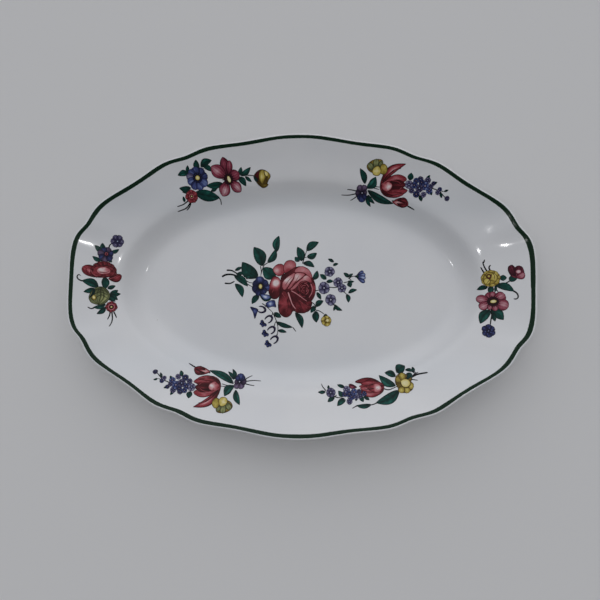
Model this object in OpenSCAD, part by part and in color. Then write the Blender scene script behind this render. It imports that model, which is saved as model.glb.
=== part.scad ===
// Oval serving platter in glazed white china, with a lobed lip, a dark green rim line and
// seven painted flower sprays. It lies on its foot ring: +X is the long axis, +Y runs across
// the platter, and the origin is the middle of the surface it stands on. All sizes are in mm.
// The fired body is one solid. Glaze, rim line and every kind of flower are thin solids that
// lie on the surface under them.

/* [Platter] */
// Length over the lobed lip
platter_l = 340; // [320:1:380]
// Width over the lobed lip
platter_w = 222; // [210:1:250]
// Length of the oval shoulder where the broad rim turns down into the well
shoulder_l = 272; // [258:1:284]
// Width of the oval shoulder
shoulder_w = 161; // [152:1:168]
// Thickness of the glaze on both faces
glaze_t = 0.3; // [0.2:0.05:0.4]

/* [Painting] */
// Thickness of the green rim line
line_t = 0.1; // [0.05:0.05:0.3]
// Thickness of the thin stems
stem_t = 0.1; // [0.05:0.05:0.2]
// Thickness of the leaf enamel
leaf_t = 0.15; // [0.1:0.05:0.3]
// Thickness of the flower enamel
bloom_t = 0.2; // [0.1:0.05:0.4]

/* [Hidden] */

// The lip, as spline control points of one quarter: end, two lobes, top peak. The other three
// quarters mirror it.
lip_quarter = [[170, 0], [170.6, 24], [166.5, 37], [158.5, 42.5], [153, 57.5], [133, 69],
    [117, 79], [101.5, 92], [84.5, 94.2], [72, 103.2], [44, 104.8], [18, 110.8], [0, 111.6]];
lip_scale = [platter_l / 340.5, platter_w / 222.6];
samples_per_span = 2;

// Profile of the china, as [reach, height]. Reach 0 is the shoulder, minus goes into the well
// and rim_reach is the lip.
rim_reach = 33;
face_profile = [[-21, 6.2], [-16, 7], [-11.5, 9.3], [-7.5, 12.4], [-4, 15.8], [-1.5, 18.1],
    [1.5, 19.6], [15, 24.2], [29.2, 30.4], [31.7, 31.4], [32.7, 31.1], [33, 30.2]];
back_profile = [[32.4, 28.5], [30.4, 27.3], [15.6, 20.3], [3.2, 16.1], [-1, 13.1], [-4.8, 9.4],
    [-8.8, 6.1], [-14, 3.7], [-20.4, 2.4], [-21.4, 0.6]];
foot_profile = [[-22, 0], [-24, 0]];
foot_well_profile = [[-24.6, 0.6], [-25.6, 2.2]];
line_from = 29.2;
line_to = 31.7;
// Gap that keeps the rim line clear of the glaze, and how deep an enamel patch sinks into it.
clear = 0.02;
bed = 0.04;

function mix(a, b, t) = a + (b - a) * t;
function lean(v) = [-v[1], v[0]] / norm(v);

// A closed uniform cubic spline with n samples in each span.
function spline_at(a, b, c, d, t) =
    ((1 - t) ^ 3 * a + (3 * t ^ 3 - 6 * t ^ 2 + 4) * b + (-3 * t ^ 3 + 3 * t ^ 2 + 3 * t + 1) * c
    + t ^ 3 * d) / 6;
function spline_loop(p, n) = let (m = len(p)) [for (i = [0 : m - 1], k = [0 : n - 1])
    spline_at(p[(i + m - 1) % m], p[i], p[(i + 1) % m], p[(i + 2) % m], k / n)];

// All four quarters of the lip, and each sample's direction and distance from the middle.
quarter_last = len(lip_quarter) - 1;
lip_ctrl = [
    for (i = [0 : quarter_last]) lip_quarter[i],
    for (i = [quarter_last - 1 : -1 : 0]) [-lip_quarter[i][0], lip_quarter[i][1]],
    for (i = [1 : quarter_last]) -lip_quarter[i],
    for (i = [quarter_last - 1 : -1 : 1]) [lip_quarter[i][0], -lip_quarter[i][1]]];
lip = [for (p = spline_loop(lip_ctrl, samples_per_span))
    [p[0] * lip_scale[0], p[1] * lip_scale[1]]];
segments = len(lip);
way = [for (p = lip) atan2(p[1], p[0])];
lip_table = [for (i = [0 : segments / 4]) [way[i], norm(lip[i])]];

function oval_r(grow, w) = let (a = shoulder_l / 2 + grow, b = shoulder_w / 2 + grow)
    a * b / sqrt((b * cos(w)) ^ 2 + (a * sin(w)) ^ 2);
function first_quarter(w) = let (v = abs(w)) v > 90 ? 180 - v : v;
function lip_r(w) = lookup(first_quarter(w), lip_table);

// One ring of points round the platter at a reach and a height.
function ring_r(reach, w, outer) = reach <= 0 ? oval_r(reach, w)
    : mix(oval_r(0, w), outer, reach / rim_reach);
function ring(q) = [for (i = [0 : segments - 1]) let (r = ring_r(q[0], way[i], norm(lip[i])))
    [r * cos(way[i]), r * sin(way[i]), q[1]]];

// A profile moved out from the china by the glaze thickness.
function raised(p, t) = let (m = len(p) - 1) [for (i = [0 : m])
    let (v = p[min(i + 1, m)] - p[max(i - 1, 0)]) p[i] + lean(v) * t];
glaze_face = raised(face_profile, glaze_t);

// Skin of triangles between neighbouring rings; wrap joins the last ring to the first.
function band_faces(i, j) = [for (k = [0 : segments - 1]) let (n = (k + 1) % segments)
    each [[i * segments + k, j * segments + n, j * segments + k],
        [i * segments + k, i * segments + n, j * segments + n]]];
module loft(profile, wrap) {
    last = len(profile) - 1;
    polyhedron(
        points = [for (q = profile) each ring(q)],
        faces = [
            for (i = [0 : last - 1]) each band_faces(i, i + 1),
            if (wrap) each band_faces(last, 0),
            if (!wrap) [for (k = [segments - 1 : -1 : 0]) k],
            if (!wrap) [for (k = [0 : segments - 1]) last * segments + k]]);
}
function back_to_front(list) = [for (i = [len(list) - 1 : -1 : 0]) list[i]];

// Height of the glazed face over a plan point.
settle_steps = 5;
function settled(r, w, reach, steps) = steps == 0 ? reach
    : settled(r, w, reach + r - oval_r(reach, w), steps - 1);
function plan_reach(p) = let (w = atan2(p[1], p[0]), r = norm(p), s = oval_r(0, w))
    r <= s ? settled(r, w, r - s, settle_steps) : rim_reach * (r - s) / (lip_r(w) - s);
function face_z(p) = lookup(plan_reach(p), glaze_face);
well_z = face_profile[0][1] + glaze_t;

// A thin patch of enamel with a plan outline: on the sloping rim it follows the surface, and in
// the flat well it is a plain plate.
function total(list) = list * [for (v = list) 1];
function middle(p) = [for (k = [0, 1]) total([for (q = p) q[k]]) / len(p)];
function spin(p) = total([for (i = [0 : len(p) - 1]) cross(p[i], p[(i + 1) % len(p)])]);
function anticlockwise(p) = spin(p) > 0 ? p : back_to_front(p);
// How far a spray is slid over the face before it is laid.
$slip = [0, 0];
function laid(plan, lifts) = [for (lift = lifts, q = plan) let (p = q + $slip)
    [p[0], p[1], face_z(p) + lift]];
function fan(first, n, up) = [for (k = [0 : n - 1]) let (m = (k + 1) % n)
    up ? [first + m, first + k, first + n] : [first + k, first + m, first + n]];
function skirt(a, b, n) = [for (k = [0 : n - 1]) let (m = (k + 1) % n)
    each [[a + m, a + k, b + k], [a + m, b + k, b + m]]];
module rim_patch(outline, t) {
    edge = anticlockwise(outline);
    n = len(edge);
    polyhedron(
        points = laid(concat(edge, [middle(edge)]), [-bed, t]),
        faces = concat(fan(0, n, false), skirt(0, n + 1, n), fan(n + 1, n, true)));
}
// A larger patch has a second ring of points half way in, so that it follows the shoulder.
inner_ring = 0.55;
module rim_large_patch(outline, t) {
    edge = anticlockwise(outline);
    n = len(edge);
    hub = middle(edge);
    inside = [for (q = edge) mix(hub, q, inner_ring)];
    polyhedron(
        points = laid(concat(inside, [hub], edge, edge, inside, [hub]), [0]) + concat(
            [for (k = [0 : 2 * n]) [0, 0, -bed]], [for (k = [0 : 2 * n]) [0, 0, t]]),
        faces = concat(fan(0, n, false), skirt(0, n + 1, n), skirt(n + 1, 2 * n + 1, n),
            skirt(2 * n + 1, 3 * n + 1, n), fan(3 * n + 1, n, true)));
}
module well_patch(outline, t) {
    translate([0, 0, well_z]) linear_extrude(t) polygon(outline);
}

// Plan outlines. A leaf is [base, tip, width]. A bloom is [middle, radius, petals]. A stem is a
// list of points, and it thins towards the last.
leaf_sides = [[0.06, 0.12], [0.25, 0.42], [0.5, 0.5], [0.78, 0.33]];
function leaf(l) = let (v = l[1] - l[0], s = lean(v) * l[2]) concat(
    [for (q = leaf_sides) l[0] + v * q[0] - s * q[1]], [l[1]],
    [for (q = back_to_front(leaf_sides)) l[0] + v * q[0] + s * q[1]]);
petal_points = 6;
petal_dip = 0.22;
function bloom(b) = let (n = b[2] * petal_points) [for (i = [0 : n - 1]) let (w = 360 * i / n)
    b[0] + b[1] * (1 - petal_dip * (1 - abs(sin(w * b[2] / 2)))) * [cos(w), sin(w)]];
stem_w = 0.8;
tip_w = 0.3;
function stem_edge(s, side) = let (m = len(s) - 1) [for (i = [0 : m])
    s[i] + lean(s[min(i + 1, m)] - s[max(i - 1, 0)]) * side * mix(stem_w, tip_w, i / m) / 2];
module rim_stem(s) {
    n = len(s);
    function face(a, b, c, d) = [[a, b, c], [a, c, d]];
    polyhedron(
        points = laid(concat(stem_edge(s, -1), stem_edge(s, 1)), [-bed, stem_t]),
        faces = [
            for (k = [0 : n - 2]) each concat(
                face(k, k + 1, n + k + 1, n + k),
                face(3 * n + k, 3 * n + k + 1, 2 * n + k + 1, 2 * n + k),
                face(k + 1, k, 2 * n + k, 2 * n + k + 1),
                face(n + k, n + k + 1, 3 * n + k + 1, 3 * n + k)),
            each face(0, n, 3 * n, 2 * n),
            each face(n - 1, 3 * n - 1, 4 * n - 1, 2 * n - 1)]);
}
module well_stem(s) {
    well_patch(concat(stem_edge(s, -1), back_to_front(stem_edge(s, 1))), stem_t);
}
shape_samples = 2;
module rim_leaves(list) { for (l = list) rim_patch(leaf(l), leaf_t); }
module rim_stems(list) { for (s = list) rim_stem(s); }
module rim_blooms(list) { for (b = list) rim_patch(bloom(b), bloom_t); }
module rim_large_bloom(b) { rim_large_patch(bloom(b), bloom_t); }
module rim_shape(ctrl) { rim_large_patch(spline_loop(ctrl, shape_samples), bloom_t); }
module well_shape(ctrl, t) { well_patch(spline_loop(ctrl, shape_samples), t); }

module china_body() {
    color("gainsboro")
        loft(concat(face_profile, back_profile, foot_profile, foot_well_profile), false);
}
module face_glaze() {
    color("white") loft(concat(glaze_face, back_to_front(face_profile)), false);
}
module back_glaze() {
    under = concat([face_profile[len(face_profile) - 1]], back_profile);
    color("whitesmoke") loft(concat(raised(under, glaze_t), back_to_front(under)), true);
}
module foot_well_glaze() {
    color("whitesmoke") loft(concat(
        back_to_front(foot_well_profile), raised(foot_well_profile, glaze_t)), false);
}
module rim_line() {
    edges = [for (r = [line_from, line_to]) [r, lookup(r, glaze_face) + clear]];
    color("darkgreen") loft(concat(raised(edges, line_t), back_to_front(edges)), true);
}

// Centre spray, in the flat of the well: a cabbage rose with smaller flowers round it.
rose_t = bloom_t * 1.5;
rose_heart_t = bloom_t * 2;
module centre_rose() {
    color("firebrick") {
        well_shape([[-23, 2], [-20, 8], [-22, 14], [-14, 18], [-8, 20.5], [-3, 17], [3, 15.5],
            [8, 11], [13, 2], [12, -5], [9, -11], [9, -17], [2, -20], [-5, -18], [-9, -23],
            [-15, -18], [-16, -9], [-22, -8]], bloom_t);
        well_shape([[-8, 4], [-2, 14], [6, 12], [12, 4], [11, -6], [4, -12], [-4, -10],
            [-10, -3]], rose_t);
        well_shape([[-2, 0], [1, 6], [7, 6], [11, 1], [9, -5], [3, -7], [-1, -4]], rose_heart_t);
    }
}
module centre_daisy() {
    color("midnightblue") {
        well_patch(bloom([[-29.3, 0.2], 7.6, 7]), bloom_t);
        well_patch(bloom([[-29.3, 0.2], 1.8, 6]), rose_t);
    }
    color("lightsteelblue") well_patch(leaf([[-29.5, -7.5], [-21, -8], 5]), bloom_t);
}
module bluebell(mouth, cup) {
    well_patch(leaf([cup, mouth, 4.5]), bloom_t);
    well_patch(bloom([mouth, 2.6, 5]), bloom_t);
}
module centre_bluebells() {
    color("darkslateblue") {
        bluebell([-19, -12.5], [-25, -13]);
        bluebell([-34, -19], [-27, -16.5]);
        bluebell([-26.5, -28], [-21, -22]);
        bluebell([-24.5, -35.5], [-18, -30.5]);
        bluebell([-22, -43.5], [-16, -37.5]);
    }
}
module centre_forget_me_nots() {
    color("slateblue") for (b = [[[22.8, 12.3], 4.2, 5], [[18.8, -0.3], 4.7, 5],
        [[29.2, 4.2], 3.4, 5], [[32.5, -0.2], 3.3, 5], [[24, -9], 4.5, 5]])
        well_patch(bloom(b), bloom_t);
}
module centre_cornflower() {
    color("royalblue") well_shape([[41, 8.7], [46, 11.5], [50.5, 13], [49.5, 8.7], [50.5, 4.5],
        [46, 6]], bloom_t);
}
module centre_buttercup() {
    color("goldenrod") well_patch(bloom([[21, -25], 4.2, 5]), bloom_t);
}
module centre_leaves() {
    color("darkslategray") for (l = [
        [[-50, 8.5], [-39.5, 0], 5], [[-48.5, 2], [-43, -8], 5], [[-46, 10], [-40.5, 11.5], 2.4],
        [[-49.5, 12.8], [-44, 14.8], 2.4], [[-40.5, 7], [-37.5, 8.2], 2.4],
        [[-32.3, 7.8], [-44, 19], 9], [[-28, 16.5], [-33.5, 31], 9], [[-24.5, 18.5], [-18.5, 29], 5],
        [[-17, 28], [-16, 39], 5.5], [[-19, 7], [-28, 12.5], 8], [[-31, -6.8], [-35.5, -12.5], 4.5],
        [[-19, -19.5], [-14.5, -22.5], 3], [[-16.5, -26.5], [-4, -30.5], 3],
        [[-15.3, -33], [-9, -34.3], 2.5], [[1.5, 20.5], [-1.8, 31], 5.5], [[5, 28], [14, 34.8], 5.5],
        [[5.5, 23], [13, 26.5], 4.5], [[0.5, 19], [-3.5, 23], 4], [[2.5, 18.3], [11, 15.8], 4],
        [[11, 6.5], [14, 13], 4], [[20.3, 6.8], [16, 10], 3.2], [[20.7, 4.8], [25.6, 5], 2.8],
        [[26, 19.5], [22, 22], 2.5], [[25.5, 16.8], [29.3, 18.3], 2.2], [[14, -4], [16.5, -8.6], 2.5],
        [[13.2, -14.3], [18.7, -9.8], 4.5], [[11.5, -14], [9.3, -18.8], 3.3],
        [[13, -18], [13.5, -26.5], 5], [[-2.5, -20], [2.8, -30.8], 4.4], [[39.5, 9], [34.3, 11], 3.4],
        [[37.5, 5.3], [41, 5.2], 1.8], [[38.8, 4.5], [38.3, 0], 3.4], [[37.5, -3.8], [43.6, -1.2], 2.8],
        [[36, -4.5], [37.5, -10.8], 3.2], [[27, -12.8], [32.7, -16.8], 2.6]])
        well_patch(leaf(l), leaf_t);
}
module centre_stems() {
    color("black") for (s = [
        [[-50.5, 8.8], [-55, 9.2], [-59, 7.3]], [[-48, 10.5], [-51.5, 12], [-55.5, 12.4]],
        [[-50, 3.8], [-53, 2.6], [-57, 2.4]], [[-34.5, -0.5], [-40, 3], [-44.5, 6.5]],
        [[-34, 1.2], [-38.5, 3.2], [-40, 6]], [[-28.8, 9], [-29, 12], [-28.5, 16]],
        [[-28.5, -12.5], [-24.5, -14.8], [-20, -18.5], [-16.8, -25], [-15.2, -31], [-15.2, -37]],
        [[3.3, 17.8], [4.6, 22], [4.8, 27]], [[23.5, 0], [27, 0.6]], [[33.5, -3.2], [36.3, -5.2]],
        [[41, 8.8], [37.5, 7.4]], [[13.3, -12], [12.4, -15.5], [15.5, -17.8], [19.6, -20.5]]])
        well_stem(s);
}

// Top left spray: two anemones, a yellow bud and a little red daisy.
module top_left_blue_anemone() { color("midnightblue") rim_large_bloom([[-75.3, 77.5], 8, 6]); }
module top_left_red_anemone() {
    color("brown") rim_shape([[-51, 85], [-53, 94], [-58, 90], [-57, 83], [-66, 88], [-64, 79],
        [-57, 75], [-59, 68], [-55, 64], [-51.5, 72], [-44, 67], [-42.5, 74], [-47, 76],
        [-43.5, 81], [-47, 86]]);
}
module top_left_yellow_bud() { color("goldenrod") rim_large_bloom([[-27.2, 78.5], 6.2, 4]); }
module top_left_red_daisy() { color("firebrick") rim_large_bloom([[-80.4, 64.5], 4.7, 6]); }
module top_left_leaves() {
    color("darkslategray") rim_leaves([
        [[-75, 85.8], [-76, 90.3], 4.2], [[-71.5, 86.5], [-65, 90.5], 4.2],
        [[-70.5, 84.3], [-64.5, 82.8], 3.2], [[-82.4, 82], [-82.3, 86], 2.4],
        [[-84, 80], [-89.6, 78.8], 3], [[-82, 70.5], [-89, 70.3], 3.8],
        [[-85.5, 60.8], [-86.8, 64], 1.6], [[-60, 74.3], [-68.5, 72.3], 4],
        [[-75.5, 67.5], [-61, 64.5], 6.5], [[-45, 81.8], [-42.8, 86], 2.4],
        [[-42, 81.3], [-36, 86], 3.2], [[-44.3, 78.8], [-39.8, 73.6], 3.8],
        [[-39.3, 79.7], [-35, 76.3], 2]]);
}
module top_left_stems() {
    color("black") rim_stems([[[-83.5, 61], [-87.5, 58.2], [-91.5, 57]],
        [[-81.8, 59.2], [-86, 55.6], [-91.5, 53.6]], [[-42.5, 80.2], [-37.5, 80.5], [-33.8, 80.4]],
        [[-60.8, 64], [-59.2, 61.5], [-59.8, 59.8]]]);
}

// Top right spray: pansy, yellow bud, tulip and larkspur. The bottom left spray is the same
// spray turned half round, and it lies a little nearer the middle of its side.
module spray_pansy() {
    color("indigo") rim_blooms([[[47, 74], 2.9, 3], [[43.9, 69.8], 2.6, 3], [[49, 69.6], 2.1, 3]]);
    color("midnightblue") rim_patch(leaf([[46.6, 68.6], [46.8, 64.5], 5]), bloom_t);
}
module spray_yellow_bud() {
    color("olive") rim_shape([[50.5, 88], [54, 92.5], [60, 93], [65, 89.5], [65, 84], [61, 81.5],
        [56, 81], [52, 84]]);
}
module spray_tulip() {
    color("firebrick") rim_shape([[60, 73], [61.5, 80.5], [67, 86.5], [77.5, 90], [76, 84],
        [79, 78.5], [78.5, 74.5], [80, 70.5], [76, 66.5], [68, 66.3], [62, 68.5]]);
}
module spray_larkspur() {
    color("darkslateblue") rim_blooms([[[82, 74.5], 3.2, 5], [[87.5, 70], 3, 5], [[88.7, 76.6], 3.1, 5],
        [[93.6, 72.8], 3, 5], [[101.6, 70.2], 2.6, 4], [[108.3, 64.3], 2.3, 4]]);
}
module spray_red_bud() { color("brown") rim_patch(leaf([[70.5, 63.3], [81, 61.5], 5.4]), bloom_t); }
module spray_leaves() {
    color("darkslategray") rim_leaves([[[48.6, 77.5], [45.3, 86.3], 4.4], [[51, 73.2], [57, 80.6], 5],
        [[52, 71.2], [69.5, 62.3], 5.2], [[51, 68], [53.4, 61.2], 2.6], [[52.5, 67.3], [56.4, 63.5], 2],
        [[81.5, 78.2], [82.3, 82.6], 4], [[89.5, 66.3], [90.3, 63], 2.6], [[93, 78.5], [95.5, 80.5], 2],
        [[96.5, 70.5], [97.5, 67], 2.2], [[97.2, 74.3], [100.8, 75.6], 1.8],
        [[104.3, 67.6], [104.8, 64.8], 1.6], [[106, 68.6], [108.6, 69.8], 1.4]]);
}
module spray_stems() {
    color("black") rim_stems([[[42, 71.8], [38.5, 72.3], [35.8, 72.8]], [[41, 70], [36, 69.2],
        [31.5, 69.5]], [[42, 68], [40, 66.5], [38, 65.6]], [[53.5, 73.6], [57, 73.6], [59.4, 73.2]],
        [[81.8, 60.5], [84, 58.3], [85.6, 57.5]]]);
}
module top_right_pansy() { spray_pansy(); }
module top_right_yellow_bud() { spray_yellow_bud(); }
module top_right_tulip() { spray_tulip(); }
module top_right_larkspur() { spray_larkspur(); }
module top_right_red_bud() { spray_red_bud(); }
module top_right_leaves() { spray_leaves(); }
module top_right_stems() { spray_stems(); }
half_turn_slip = [-6.6, 1.5];
module half_turn() {
    $slip = half_turn_slip;
    rotate(180) children();
}
module bottom_left_pansy() { half_turn() spray_pansy(); }
module bottom_left_yellow_bud() { half_turn() spray_yellow_bud(); }
module bottom_left_tulip() { half_turn() spray_tulip(); }
module bottom_left_larkspur() { half_turn() spray_larkspur(); }
module bottom_left_red_bud() { half_turn() spray_red_bud(); }
module bottom_left_leaves() { half_turn() spray_leaves(); }
module bottom_left_stems() { half_turn() spray_stems(); }

// Left spray: forget-me-not, pansy, peony, a globe bud and a little red daisy.
module left_forget_me_not() { color("navy") rim_blooms([[[-135.6, 31], 4.7, 6]]); }
module left_pansy() { color("indigo") rim_large_bloom([[-143.5, 20.8], 5.2, 5]); }
module left_peony() {
    color("firebrick") {
        rim_shape([[-154.5, 10], [-151, 15.5], [-144.5, 16], [-138, 15], [-134.5, 10], [-139.5, 3.5],
            [-146, 2.5], [-152.5, 4]]);
        rim_patch(leaf([[-153.3, 2.8], [-160.5, 11], 6]), bloom_t);
        rim_patch(leaf([[-139.5, 2], [-131, 5.6], 5]), bloom_t);
    }
}
module left_globe_bud() { color("olive") rim_large_bloom([[-146.8, -10.8], 7, 6]); }
module left_red_daisy() { color("firebrick") rim_blooms([[[-138.3, -18.6], 4.2, 8]]); }
module left_leaves() {
    color("darkslategray") rim_leaves([[[-145.3, 26.3], [-146, 29.6], 3.2], [[-149, 22.5], [-151.6, 27.2], 3],
        [[-139.3, 23.3], [-134.6, 25.4], 2.6], [[-147.8, 16.8], [-153.2, 19], 2.8],
        [[-144, 2], [-144, -3.6], 4.6], [[-148.5, -3], [-160, 0.6], 5],
        [[-154, -5], [-158.8, -8.6], 3], [[-141, -4.3], [-136.6, -3], 2.6],
        [[-139.6, -8.5], [-131.4, -8.2], 5], [[-140.4, -13], [-136.2, -14], 1.8],
        [[-144, -18.3], [-150.5, -18.9], 2.2], [[-143, -20], [-147.8, -24.4], 3.2]]);
}
module left_stems() {
    color("black") rim_stems([[[-139, -22.8], [-139.2, -26], [-140.2, -28.4]],
        [[-137.9, -22.8], [-137, -28], [-138.8, -33]], [[-136.4, -22.4], [-135, -24.5], [-134.2, -27]],
        [[-141.5, 25.5], [-140.8, 28], [-139.8, 29.8]], [[-160.5, 0.4], [-164, 1.2], [-164.8, 3.2]],
        [[-151, -19.2], [-153, -20], [-154.8, -19.4]]]);
}

// Right spray: ranunculus, pink bud, red anemone and a blue flower.
module right_ranunculus() { color("goldenrod") rim_large_bloom([[139.2, 6.8], 6.2, 5]); }
module right_pink_bud() {
    color("palevioletred") rim_shape([[150, 13], [152, 16.8], [156, 15.4], [160.5, 14], [161.5, 9.5],
        [156, 7], [152.5, 9]]);
}
module right_red_anemone() {
    color("brown") rim_shape([[137, -3], [140, -2.5], [142.5, -4.5], [147, -3.5], [149, -8.5],
        [152, -12], [149.5, -16.8], [144, -16.5], [139.5, -16.3], [133.5, -17], [131, -12.5],
        [133.5, -11], [128.5, -8], [131.5, -4.5], [135, -6]]);
}
module right_blue_flower() { color("navy") rim_blooms([[[137.2, -31.2], 4.9, 6]]); }
module right_leaves() {
    color("darkslategray") rim_leaves([[[144.3, 1.3], [153.6, -2.8], 4.6], [[136, -0.3], [130.3, -1], 3],
        [[146.6, 7], [149.8, 7], 4], [[154.6, 6.2], [151.3, 5.6], 2.6],
        [[138.3, -18], [131.5, -26], 5.6], [[141, -18], [147.2, -23.6], 5.4]]);
}
module right_stems() {
    color("black") rim_stems([[[136.8, 12.8], [134.5, 16], [133.4, 19.3]],
        [[135, 11.8], [133.4, 13.4], [132.3, 15.3]], [[146, 3.2], [149, 3.4], [151, 4.6]],
        [[154.6, -2.6], [157, -5.2], [156.2, -7.8], [154.4, -8]],
        [[139.4, -19.5], [139.6, -22.5], [138.6, -26]]]);
}

// Bottom right spray: a gold double flower, a tulip, a red bud and clustered blue flowers.
module bottom_right_gold_flower() { color("goldenrod") rim_large_bloom([[78.7, -69.5], 6.6, 5]); }
module bottom_right_tulip() {
    color("firebrick") rim_shape([[45, -67.5], [52, -66.8], [59, -65.5], [65, -70], [64, -75.5],
        [59, -80], [52, -79.5], [46.5, -75.5], [48, -71.5]]);
}
module bottom_right_red_bud() { color("brown") rim_patch(leaf([[44.8, -72.3], [38.8, -72], 3]), bloom_t); }
module bottom_right_blue_cluster() {
    color("darkslateblue") rim_blooms([[[37.6, -75.6], 2.7, 5], [[43.2, -77], 2.7, 5],
        [[39.5, -81.5], 2.9, 5]]);
}
module bottom_right_blue_flower() { color("slateblue") rim_blooms([[[26, -77.2], 3.4, 6]]); }
module bottom_right_leaves() {
    color("darkslategray") rim_leaves([[[74.6, -62.2], [77.5, -56.4], 5.6],
        [[71.4, -63.8], [65.6, -62.6], 3.4], [[71.6, -70.6], [61.4, -64], 4.8], [[74.3, -75], [60, -83.3], 6.6],
        [[54.6, -85.4], [44.6, -86], 2.8], [[84, -61.3], [80, -59.7], 1.8], [[86, -61.6], [85, -57.8], 1.8],
        [[34.8, -73.8], [31, -71.8], 2], [[35.6, -79.2], [31.6, -77], 3], [[36, -82.6], [31.6, -86.5], 3.6],
        [[47, -78.6], [49.5, -83.2], 3], [[51, -80.6], [54, -81.8], 1.6], [[21.8, -77.4], [17.2, -77.8], 1.9],
        [[24.2, -73.4], [23.8, -71.8], 1.2], [[28.8, -81.4], [24.6, -84], 2.8]]);
}
module bottom_right_stems() {
    color("black") rim_stems([[[85.2, -65], [88.5, -62.6], [95.5, -61.2]],
        [[85.8, -67], [88.2, -66.6]], [[66, -74], [70, -74.2], [72.8, -72.6]],
        [[59.5, -83.8], [57, -84.8], [55.3, -85.2]], [[44.2, -86.3], [42, -88.2]],
        [[30, -80.6], [32.5, -81]], [[22, -75.8], [19.6, -73], [20.4, -71]]]);
}

china_body();
face_glaze();
back_glaze();
foot_well_glaze();
rim_line();
centre_rose();
centre_daisy();
centre_bluebells();
centre_forget_me_nots();
centre_cornflower();
centre_buttercup();
centre_leaves();
centre_stems();
top_left_blue_anemone();
top_left_red_anemone();
top_left_yellow_bud();
top_left_red_daisy();
top_left_leaves();
top_left_stems();
top_right_pansy();
top_right_yellow_bud();
top_right_tulip();
top_right_larkspur();
top_right_red_bud();
top_right_leaves();
top_right_stems();
left_forget_me_not();
left_pansy();
left_peony();
left_globe_bud();
left_red_daisy();
left_leaves();
left_stems();
right_ranunculus();
right_pink_bud();
right_red_anemone();
right_blue_flower();
right_leaves();
right_stems();
bottom_left_pansy();
bottom_left_yellow_bud();
bottom_left_tulip();
bottom_left_larkspur();
bottom_left_red_bud();
bottom_left_leaves();
bottom_left_stems();
bottom_right_gold_flower();
bottom_right_tulip();
bottom_right_red_bud();
bottom_right_blue_cluster();
bottom_right_blue_flower();
bottom_right_leaves();
bottom_right_stems();
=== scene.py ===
"""Oval serving platter in glazed china, with a lobed lip, a green rim line and painted sprays.

The sections follow the making: the fired dish, its glaze, then the sprays, each laid on the glaze
as a transfer and coloured by hand, and the rim line. The studio that shows it comes last."""
import math
import random

import bpy
from mathutils import Matrix, Vector


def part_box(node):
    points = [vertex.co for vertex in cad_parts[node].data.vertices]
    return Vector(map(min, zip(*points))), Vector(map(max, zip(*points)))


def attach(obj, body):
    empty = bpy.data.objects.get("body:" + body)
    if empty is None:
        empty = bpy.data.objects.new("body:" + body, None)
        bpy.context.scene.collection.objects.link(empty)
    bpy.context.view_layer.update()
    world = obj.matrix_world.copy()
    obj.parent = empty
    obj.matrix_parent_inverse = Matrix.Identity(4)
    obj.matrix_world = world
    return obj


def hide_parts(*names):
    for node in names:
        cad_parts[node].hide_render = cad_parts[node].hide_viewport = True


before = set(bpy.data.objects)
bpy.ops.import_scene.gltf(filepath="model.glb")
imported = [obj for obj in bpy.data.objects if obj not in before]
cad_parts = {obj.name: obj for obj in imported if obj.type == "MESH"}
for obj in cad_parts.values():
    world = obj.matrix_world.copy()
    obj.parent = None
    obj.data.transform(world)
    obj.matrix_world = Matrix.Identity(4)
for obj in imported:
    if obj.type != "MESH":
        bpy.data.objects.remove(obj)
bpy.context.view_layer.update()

MM = 0.001


# ---- The fired dish -----------------------------------------------------------------------------
# White china clay, pressed over a plaster hump with a profile tool and fired once. Only the ground
# edge of the foot stays bare. Each ring of the dish mixes the oval shoulder with the lobed lip, so
# the form is a loft that Geometry Nodes make from one lip curve and one profile.
lip_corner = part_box("face_glaze")[1]
HALF_LENGTH = lip_corner.x / MM
HALF_WIDTH = lip_corner.y / MM
SHOULDER_LENGTH = 136.0
SHOULDER_WIDTH = 80.5
RIM_REACH = 33.0
WELL_REACH = -21.0
CENTRE_REACH = -80.0
GLAZE = 0.3
DISH_SEGMENTS = 400
LINE_STEPS = 4
MERGE_GAP = 0.002

# A quarter of the lip in mm, as spline control points: end, two lobes, top peak. It is mirrored,
# and its curve, which reaches PLAN_LENGTH by PLAN_WIDTH, is scaled to the frame.
PLAN_LENGTH, PLAN_WIDTH = 170.22, 111.27
lip_quarter = [(170, 0), (170.6, 24), (166.5, 37), (158.5, 42.5), (153, 57.5), (133, 69),
               (117, 79), (101.5, 92), (84.5, 94.2), (72, 103.2), (44, 104.8), (18, 110.8),
               (0, 111.6)]
lip_half = lip_quarter + [(-x, y) for x, y in lip_quarter[-2::-1]]
lip_points = [(x * HALF_LENGTH / PLAN_LENGTH, y * HALF_WIDTH / PLAN_WIDTH)
              for x, y in lip_half + [(x, -y) for x, y in lip_half[-2:0:-1]]]

lip_data = bpy.data.curves.new("lip_path", "CURVE")
lip_data.dimensions = "3D"
lip_spline = lip_data.splines.new("NURBS")
lip_spline.points.add(len(lip_points) - 1)
for point, (x, y) in zip(lip_spline.points, lip_points):
    point.co = (x * MM, y * MM, 0, 1)
lip_spline.order_u = 4
lip_spline.use_cyclic_u = True
lip_spline.resolution_u = 24

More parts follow.
